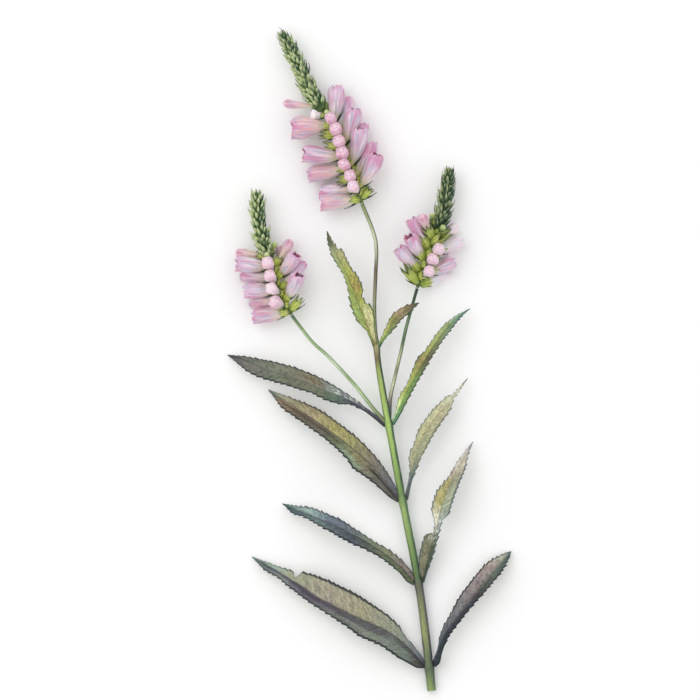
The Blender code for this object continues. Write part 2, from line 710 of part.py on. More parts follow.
def make_spike(name, spike, green, pink):
    route = Route(spike["rachis"])
    tiers = max(len(rank["states"]) for rank in spike["ranks"].values())
    flowering = spike["first"] + spike["pitch"] * (tiers - TIP_OVERLAP)
    parts = new_collection("florets " + name)
    for rank_name, rank in spike["ranks"].items():
        offset = spike["pitch"] / 2 if rank_name in ("front", "back") else 0.0
        size = 1.0
        for tier, state in enumerate(rank["states"]):
            share = tier / (tiers - 1)
            sway = rank["sway"] * (1 if tier % 2 else -1)
            turn = math.radians(front_turn(spike, share) + RANK_TURNS[rank_name] + sway)
            lean = math.radians(blend(rank["lean"], share))
            length = rank["length"] * (PINK_SHARE if state == "p" else 1.0)
            if state == "b":
                size *= BUD_SHRINK
                length = YOUNG_BUD * size
            distance = spike["first"] + offset + spike["pitch"] * tier
            floret = Floret(route, distance, turn, lean, math.radians(rank["bend"]), length)
            bract = scale_body(floret, BRACT_LENGTH * size, BRACT_RADIUS, BRACT_ROOT, BRACT_DROP)
            make_object("bract", bract, green, parts)
            node = f"bloom_{name}_{rank_name}_{tier + 1}"
            if state in "bf":
                make_object("bud", fast_bud_body(floret, size), green, parts)
                continue
            make_object("calyx", calyx_body(floret), green, parts)
            if state == "o":
                smooth_shade(make_object(node, open_floret_body(floret, rank["girth"]), pink))
            if state == "p":
                smooth_shade(make_object(node, pink_bud_body(floret), pink))
    add_bud_tip(route, flowering, spike, green, parts)
    rachis = make_object("spike_" + name, rachis_body(route, flowering), green)
    smooth_shade(join_all(rachis, parts))


def add_bud_tip(route, start, spike, material, parts):
    """Whorls of pointed green buds, packed round the end of the rachis, the first between the florets' ranks."""
    tiers = spike["tip_tiers"]
    pitch = (route.length - start) / tiers
    first = math.radians(spike["turn"][-1] + 45)
    for tier in range(tiers):
        share = tier / (tiers - 1)
        lean = math.radians(blend(TIP_LEAN, share))
        for bud in range(TIP_BUDS):
            turn = first + 2 * math.pi * (bud + 0.5 * (tier % 2)) / TIP_BUDS
            floret = Floret(route, start + pitch * (tier + 0.2), turn, lean)
            body = scale_body(floret, blend(TIP_BUD_LENGTH, share), blend(TIP_BUD_RADIUS, share))
            make_object("tip bud", body, material, parts)


def flatten_underside():
    """Presses flat what would reach below the surface that the stem lies on."""
    for obj in bpy.context.scene.collection.all_objects:
        lowest = min((obj.matrix_world @ vert.co).z for vert in obj.data.vertices)
        if lowest >= 0:
            continue
        bm = bmesh.new()
        bm.from_mesh(obj.data)
        whole = [*bm.verts, *bm.edges, *bm.faces]
        bmesh.ops.bisect_plane(bm, geom=whole, plane_co=(0, 0, 0), plane_no=UP, clear_inner=True, dist=WELD)
        bmesh.ops.holes_fill(bm, edges=[edge for edge in bm.edges if edge.is_boundary], sides=0)
        bmesh.ops.recalc_face_normals(bm, faces=bm.faces)
        bm.to_mesh(obj.data)
        bm.free()


def main():
    clear_scene()
    stem_green = make_material("stem green", (0.30, 0.40, 0.14), 0.55)
    leaf_green = make_material("leaf olive", (0.26, 0.25, 0.14), 0.60)
    spike_green = make_material("calyx green", (0.25, 0.36, 0.12), 0.55)
    petal_pink = make_material("petal pink", (0.80, 0.50, 0.66), 0.45)
    make_stem(stem_green)
    for name, leaf in LEAVES.items():
        make_leaf(name, leaf, leaf_green)
    for name, spike in SPIKES.items():
        make_spike(name, spike, spike_green, petal_pink)
    flatten_underside()


main()
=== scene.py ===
# A cut stem of obedient plant: finer leaves, stem, calyces and florets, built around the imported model
import bisect
import random
from math import cos, degrees, exp, inf, pi, radians, sin, sqrt, tan

import bmesh
import bpy
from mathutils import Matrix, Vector, noise


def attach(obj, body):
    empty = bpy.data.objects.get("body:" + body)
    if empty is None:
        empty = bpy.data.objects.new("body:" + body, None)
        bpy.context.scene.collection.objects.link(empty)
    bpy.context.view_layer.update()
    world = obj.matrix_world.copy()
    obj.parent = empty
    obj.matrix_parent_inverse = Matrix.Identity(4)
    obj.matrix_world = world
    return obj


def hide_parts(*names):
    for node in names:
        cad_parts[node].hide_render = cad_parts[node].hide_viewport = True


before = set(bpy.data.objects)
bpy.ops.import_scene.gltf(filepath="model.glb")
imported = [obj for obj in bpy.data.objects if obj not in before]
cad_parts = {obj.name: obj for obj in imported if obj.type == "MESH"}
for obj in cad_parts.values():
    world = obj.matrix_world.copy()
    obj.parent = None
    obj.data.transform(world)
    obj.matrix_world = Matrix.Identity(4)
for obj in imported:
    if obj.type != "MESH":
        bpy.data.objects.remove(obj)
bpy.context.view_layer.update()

skyward = Vector((0.0, 0.0, 1.0))
weld = 1e-6
floorClear = 0.0004  # nothing of the plant goes lower than this


# Lines and small tools

class Route:
    # a smooth line through given points, read by the distance along it
    def __init__(self, points, steps=12):
        hand = [Vector(p) for p in points]
        ends = [2 * hand[0] - hand[1], *hand, 2 * hand[-1] - hand[-2]]
        self.line = [hand[0]]
        for before, start, end, after in zip(ends, ends[1:], ends[2:], ends[3:]):
            for step in range(1, steps + 1):
                t = step / steps
                bend = (2 * before - 5 * start + 4 * end - after) * t * t
                twist = (3 * start - before - 3 * end + after) * t ** 3
                self.line.append((2 * start + (end - before) * t + bend + twist) / 2)
        self.marks = [0.0]
        for a, b in zip(self.line, self.line[1:]):
            self.marks.append(self.marks[-1] + (b - a).length)
        self.length = self.marks[-1]

    def point(self, distance):
        distance = min(max(distance, 0.0), self.length)
        index = min(max(bisect.bisect_left(self.marks, distance) - 1, 0), len(self.line) - 2)
        span = self.marks[index + 1] - self.marks[index]
        return self.line[index].lerp(self.line[index + 1], (distance - self.marks[index]) / span)

    def frame(self, distance):
        reach = self.length / 60
        along = (self.point(distance + reach) - self.point(distance - reach)).normalized()
        right = along.cross(skyward).normalized()
        return along, right, right.cross(along)


class Floret:
    # a floret's own frame: across, up towards the spike's tip, and along the floret, which curves up
    def __init__(self, route, distance, turn, lean, bend=0.0, length=0.02):
        forward, right, out = route.frame(distance)
        spoke = right * cos(turn) + out * sin(turn)
        self.axis = forward * cos(lean) + spoke * sin(lean)
        self.top = forward * sin(lean) - spoke * cos(lean)
        self.side = self.top.cross(self.axis)
        self.root = route.point(distance)
        self.length = length
        self.curve = max(bend, weld) / length

    def point(self, across, up, along):
        angle = self.curve * along
        upAxis = self.top * cos(angle) - self.axis * sin(angle)
        centre = self.top * (1 - cos(angle)) + self.axis * sin(angle)
        return self.root + centre / self.curve + self.side * across + upAxis * up


def blendPair(pair, share):
    return pair[0] + (pair[1] - pair[0]) * min(max(share, 0.0), 1.0)


def readTable(table, at):
    # a value from rows of (position, value), eased between them
    for (left, low), (right, high) in zip(table, table[1:]):
        if at <= right:
            t = min(max((at - left) / (right - left), 0.0), 1.0)
            return low + (high - low) * t * t * (3 - 2 * t)
    return table[-1][1]


def smoothTable(table, at):
    # a value from rows of (position, value), on a smooth line that never passes beyond its rows
    index = min(max(bisect.bisect_right(table, (at, inf)) - 1, 0), len(table) - 2)
    steps = [(b[1] - a[1]) / (b[0] - a[0]) for a, b in zip(table, table[1:])]
    (start, low), (end, high) = table[index], table[index + 1]

    def slope(row):
        if row in (0, len(table) - 1):
            return steps[min(row, len(steps) - 1)]
        before, after = steps[row - 1], steps[row]
        return 2 * before * after / (before + after) if before * after > 0 else 0.0

    span = end - start
    t = min(max((at - start) / span, 0.0), 1.0)
    bend = (slope(index) * (1 - t) - slope(index + 1) * t) * span * t * (1 - t)
    return low + (high - low) * t * t * (3 - 2 * t) + bend


def ripple(x, y, z=0.0):
    return noise.noise(Vector((x, y, z)))


# Meshes

def shapeGrid(columns, rows, place, rolled=False, tone=0.5):
    # a grid whose corner (column, row) goes to place(column, row); rolled joins its first and last columns
    bm = bmesh.new()
    bm.loops.layers.uv.new("UVMap")
    toneLayer = bm.verts.layers.float.new("tone")
    bmesh.ops.create_grid(bm, x_segments=columns, y_segments=rows, size=0.5, calc_uvs=True)
    for vert in bm.verts:
        column = round((vert.co.x + 0.5) * columns)
        row = round((vert.co.y + 0.5) * rows)
        vert.co = place(column % columns if rolled else column, row)
        vert.co.z = max(vert.co.z, floorClear)
        vert[toneLayer] = tone
    if rolled:
        bmesh.ops.remove_doubles(bm, verts=bm.verts, dist=weld)
    return bm


def closeHoles(bm):
    return bmesh.ops.holes_fill(bm, edges=[edge for edge in bm.edges if edge.is_boundary], sides=0)["faces"]


def gather(shapes):
    whole = bmesh.new()
    whole.loops.layers.uv.new("UVMap")
    whole.verts.layers.float.new("tone")
    for shape in shapes:
        carrier = bpy.data.meshes.new("carrier")
        shape.to_mesh(carrier)
        shape.free()
        whole.from_mesh(carrier)
        bpy.data.meshes.remove(carrier)
    return whole


def makePiece(name, bm, materials, slot, nodes, wall=0.0, sharp=70):
    # a piece with a wall is an open sheet until the modifier thickens it
    if not wall:
        bmesh.ops.recalc_face_normals(bm, faces=bm.faces)
    mesh = bpy.data.meshes.new(name)
    bm.to_mesh(mesh)
    bm.free()
    for material in materials:
        mesh.materials.append(material)
    mesh.shade_smooth()
    mesh.set_sharp_from_angle(angle=radians(sharp))
    obj = bpy.data.objects.new(name, mesh)
    bpy.context.scene.collection.objects.link(obj)
    if wall:
        thick = obj.modifiers.new("Wall", "SOLIDIFY")
        thick.thickness = wall
        thick.offset = 0.0
        thick.material_offset = len(materials) - 1
    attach(obj, "root")
    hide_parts(*nodes)


# Materials

def paint(red, green, blue):
    # a colour as it is seen on a screen, 0 to 255, turned into the one that the shader takes
    seen = [channel / 255 for channel in (red, green, blue)]
    return (*[c / 12.92 if c <= 0.04045 else ((c + 0.055) / 1.055) ** 2.4 for c in seen], 1.0)


class Wire:
    # what comes out of a node, worked with like a number
    def __init__(self, finish, socket):
        self.finish = finish
        self.socket = socket

    def work(self, operation, other=0.0):
        return self.finish.node("ShaderNodeMath", {0: self, 1: other}, operation=operation)

    def __add__(self, other):
        return self.work("ADD", other)

    def __sub__(self, other):
        return self.work("SUBTRACT", other)

    def __mul__(self, other):
        return self.work("MULTIPLY", other)

    def __pow__(self, other):
        return self.work("POWER", other)

    def __abs__(self):
        return self.work("ABSOLUTE")

    def mask(self, low, high):
        # 0 up to low, 1 from high on, eased between them
        inputs = {"Value": self, "From Min": low, "From Max": high}
        return self.finish.node("ShaderNodeMapRange", inputs, interpolation_type="SMOOTHSTEP")


class Finish:
    # a material, with the places that its patterns read and the nodes that it is painted with
    def __init__(self, name, roughness, specular, **sockets):
        self.material = bpy.data.materials.new(name)
        self.material.use_nodes = True
        self.tree = self.material.node_tree
        self.shader = self.tree.nodes["Principled BSDF"]
        self.shader.inputs["Roughness"].default_value = roughness
        self.shader.inputs["Specular IOR Level"].default_value = specular
        for socket, value in sockets.items():
            self.shader.inputs[socket.replace("_", " ")].default_value = value
        self.objectPlace = self.node("ShaderNodeTexCoord", {}, "Object")
        self.uvPlace = self.node("ShaderNodeTexCoord", {}, "UV")
        self.around = self.node("ShaderNodeSeparateXYZ", {0: self.uvPlace}, "X")
        self.along = self.node("ShaderNodeSeparateXYZ", {0: self.uvPlace}, "Y")
        self.tone = self.node("ShaderNodeAttribute", {}, "Fac", attribute_name="tone")
        self.colour = None

    def node(self, kind, inputs, output=0, **settings):
        node = self.tree.nodes.new(kind)
        for name, value in settings.items():
            setattr(node, name, value)
        for name, value in inputs.items():
            if isinstance(value, Wire):
                self.tree.links.new(value.socket, node.inputs[name])
            else:
                node.inputs[name].default_value = value
        return Wire(self, node.outputs[output])

    def ramp(self, factor, stops):
        # stops of position, in percent, and colour
        ramp = self.node("ShaderNodeValToRGB", {"Fac": factor}, "Color")
        elements = ramp.socket.node.color_ramp.elements
        while len(elements) < len(stops):
            elements.new(0.5)
        for element, (position, *colour) in zip(elements, stops):
            element.position = position / 100
            element.color = paint(*colour)
        return ramp

    def noise(self, place, scale, detail=2.0, roughness=0.5, shift=(0.0, 0.0, 0.0)):
        # a scale of three numbers stretches the pattern
        if isinstance(scale, tuple):
            place = self.node("ShaderNodeMapping", {"Vector": place, "Scale": scale, "Location": shift})
            scale = 1.0
        inputs = {"Vector": place, "Scale": scale, "Detail": detail, "Roughness": roughness}
        return self.node("ShaderNodeTexNoise", inputs, "Fac")

    def cells(self, scale):
        return self.node("ShaderNodeTexVoronoi", {"Vector": self.objectPlace, "Scale": scale}, "Distance")

    def wave(self, kind, times=1):
        return (self.around * (2 * pi * times)).work(kind)

    def vector(self, x, y, z=0.0):
        return self.node("ShaderNodeCombineXYZ", {0: x, 1: y, 2: z})

    def ring(self, reach):
        # a place that goes round a tube without a seam, other for each floret
        return self.vector(self.wave("COSINE"), self.wave("SINE"), self.along * reach + self.tone * 19.0)

    def mix(self, share, first, second, kind="MIX"):
        # sockets 6 and 7 are the colour ones
        inputs = {0: share, 6: first, 7: second}
        return self.node("ShaderNodeMix", inputs, 2, data_type="RGBA", blend_type=kind)

    def over(self, share, colour):
        # lays a colour over what is painted so far
        self.colour = self.mix(share, self.colour, paint(*colour))

    def shade(self, light):
        self.colour = self.mix(1.0, self.colour, light, "MULTIPLY")

    def done(self, height, depth, strength):
        bump = self.node("ShaderNodeBump", {"Height": height, "Distance": depth, "Strength": strength})
        self.tree.links.new(bump.socket, self.shader.inputs["Normal"])
        self.tree.links.new(self.colour.socket, self.shader.inputs["Base Color"])
        return self.material


# The stem and its two branches

stemPiece = {
    "route": ((0.04, -0.2145, 0.0029), (0.037, -0.1862, 0.0036), (0.0315, -0.1449, 0.005),
              (0.0211, -0.091, 0.007), (0.014, -0.052, 0.0086), (0.0062, -0.0084, 0.0104),
              (0.0039, 0.0117, 0.0112), (0.0026, 0.0338, 0.012), (0.0034, 0.0572, 0.0126),
              (0.0039, 0.0728, 0.013), (0.0019, 0.0845, 0.0132), (-0.0055, 0.103, 0.0134)),
    "girth": ((0, 0.0029), (0.1, 0.0025), (0.175, 0.0024), (0.225, 0.002), (0.24, 0.0012), (0.33, 0.0012)),
    "nodes": (0.016, 0.071, 0.126, 0.176, 0.228),  # where leaves and branches join
    "swell": 0.17, "swellReach": (0.0042, 0.0026),  # below and above each node
    "waist": (0.35, 0.0045, 0.0018),  # above each node: its depth, how far up, and its reach
    "columns": 32, "step": 0.0015, "square": 0.10, "rim": 0.0004, "pith": 0.0002,
    # seen colours of the lit side and of the shaded right-hand side, by percent of the length
    "lit": ((0, 140, 160, 98), (4.5, 92, 106, 80), (7, 112, 124, 90), (12, 150, 158, 102),
            (19, 120, 124, 92), (21.5, 108, 106, 90), (23.5, 98, 124, 80), (30, 128, 154, 88),
            (37, 152, 176, 106), (40, 114, 140, 84), (50, 158, 186, 102), (56, 166, 194, 108),
            (62, 160, 182, 98), (66, 148, 164, 92), (68.4, 114, 98, 70), (70.5, 172, 170, 120),
            (75, 192, 204, 154), (80, 160, 162, 124), (86, 112, 94, 76), (92, 206, 214, 178),
            (100, 124, 140, 84)),
    "shaded": ((0, 96, 120, 86), (4.5, 52, 60, 60), (12, 64, 66, 74), (19, 72, 74, 78), (23.5, 28, 58, 52),
               (30, 52, 84, 58), (37, 76, 108, 76), (44, 42, 72, 58), (52, 50, 82, 62), (60, 44, 74, 60),
               (66, 34, 58, 48), (70.5, 54, 74, 56), (76, 56, 68, 44), (84, 52, 44, 38), (92, 44, 58, 38),
               (100, 46, 64, 42)),
}
branchPieces = {
    "leftBranch": {
        "route": ((0.0108, -0.04, 0.0092), (0.0033, -0.0321, 0.0097), (-0.0108, -0.0143, 0.0106),
                  (-0.0274, 0.0035, 0.0116), (-0.0382, 0.0135, 0.0124), (-0.0512, 0.0303, 0.0134)),
        "girth": ((0, 0.0014), (0.012, 0.0012), (0.1, 0.001)),
        "lit": ((0, 120, 128, 92), (12, 146, 166, 116), (30, 186, 206, 162), (42, 150, 172, 126),
                (55, 206, 220, 188), (70, 152, 178, 130), (85, 168, 192, 140), (100, 70, 104, 62)),
        "shaded": ((0, 70, 76, 58), (30, 104, 128, 66), (60, 96, 128, 70), (85, 64, 104, 62),
                   (100, 34, 66, 46)),
    },
    "rightBranch": {
        "route": ((0.0122, -0.039, 0.0092), (0.0131, -0.0231, 0.0103), (0.0159, -0.01, 0.0112),
                  (0.0198, 0.0065, 0.0121), (0.0237, 0.024, 0.0128), (0.0304, 0.048, 0.0134)),
        "girth": ((0, 0.0014), (0.012, 0.0012), (0.1, 0.001)),
        "lit": ((0, 92, 120, 84), (12, 100, 92, 88), (28, 208, 214, 176), (38, 134, 138, 106),
                (48, 190, 196, 154), (60, 84, 114, 80), (72, 136, 160, 120), (85, 70, 102, 72),
                (100, 42, 60, 50)),
        "shaded": ((0, 60, 84, 70), (15, 58, 56, 66), (40, 82, 96, 62), (60, 32, 66, 48), (80, 44, 86, 62),
                   (100, 26, 44, 40)),
    },
}
branchMake = {"columns": 20, "step": 0.0012}


def stemFinish(name, piece):
    finish = Finish(name, 0.46, 0.35)
    streaks = finish.noise(finish.uvPlace, (18.0, 26.0, 1.0), 3.0) - 0.5
    place = finish.along + streaks * 0.05
    lit = finish.ramp(place, piece["lit"])
    shaded = finish.ramp(place, piece["shaded"])
    turn = finish.wave("SINE") + streaks * 0.7  # 1 on the right, -1 on the left
    # painted shade: the shaded colours cover the right-hand side and a dark strip along the left edge
    right = turn.mask(0.05, 0.75)
    left = turn.mask(-0.45, -0.88) * 0.92
    finish.colour = finish.mix(left, finish.mix(right, lit, shaded), shaded)
    fine = finish.noise(finish.uvPlace, (60.0, 90.0, 1.0))
    finish.shade(fine * 0.6 + finish.noise(finish.objectPlace, 1400.0) * 0.9 + 0.25)
    return finish.done(finish.wave("SINE", 16) * 0.35 + fine, 0.00012, 0.6)


def nodeSwell(distance, nodes):
    below, above = stemPiece["swellReach"]
    depth, up, reach = stemPiece["waist"]
    swell = 0.0
    for node in nodes:
        off = distance - node
        swell += exp(-(off / (above if off > 0 else below)) ** 2)
        swell -= depth * exp(-((off - up) / reach) ** 2)
    return swell


def stemShape(route, girth, nodes, swell, step, columns):
    look = stemPiece
    rows = round(route.length / step)
    places = [route.length * row / rows for row in range(rows + 1)]
    frames = [(route.point(distance), *route.frame(distance)[1:]) for distance in places]

    def place(column, row):
        distance = places[row]
        centre, right, out = frames[row]
        turn = 2 * pi * column / columns - pi / 2
        corner = cos(4 * (turn - pi / 4))
        radius = readTable(girth, distance) * (1 + swell * nodeSwell(distance, nodes))
        rough = 0.02 * cos(8 * turn) + 0.03 * ripple(distance * 90, turn, 3.0)
        radius *= 1.075 + look["square"] * corner + rough
        return centre + (right * cos(turn) + out * sin(turn)) * radius

    bm = shapeGrid(columns, rows, place, rolled=True)
    closeEnds(bm)
    return bm


def closeEnds(bm):
    # each open end gets a rim set in from its edge, and a slightly sunk pith
    rim, pith = stemPiece["rim"], stemPiece["pith"]
    ends = closeHoles(bm)
    bmesh.ops.recalc_face_normals(bm, faces=bm.faces)
    for face in ends:
        bmesh.ops.inset_individual(bm, faces=[face], thickness=rim, depth=0.0)
        bmesh.ops.inset_individual(bm, faces=[face], thickness=pith, depth=-pith)


def makeStem():
    look = stemPiece
    shape = stemShape(Route(look["route"]), look["girth"], look["nodes"], look["swell"], look["step"],
                      look["columns"])
    makePiece("mainStem", shape, [stemFinish("stemGreen", look)], "stem", ["stem"], sharp=50)
    for name, piece in branchPieces.items():
        route = Route(piece["route"])
        shape = stemShape(route, piece["girth"], (), 0.0, branchMake["step"], branchMake["columns"])
        makePiece(name, shape, [stemFinish(name + "Green", piece)], "stem", ["stem"], sharp=50)
    print("stem and branches made")
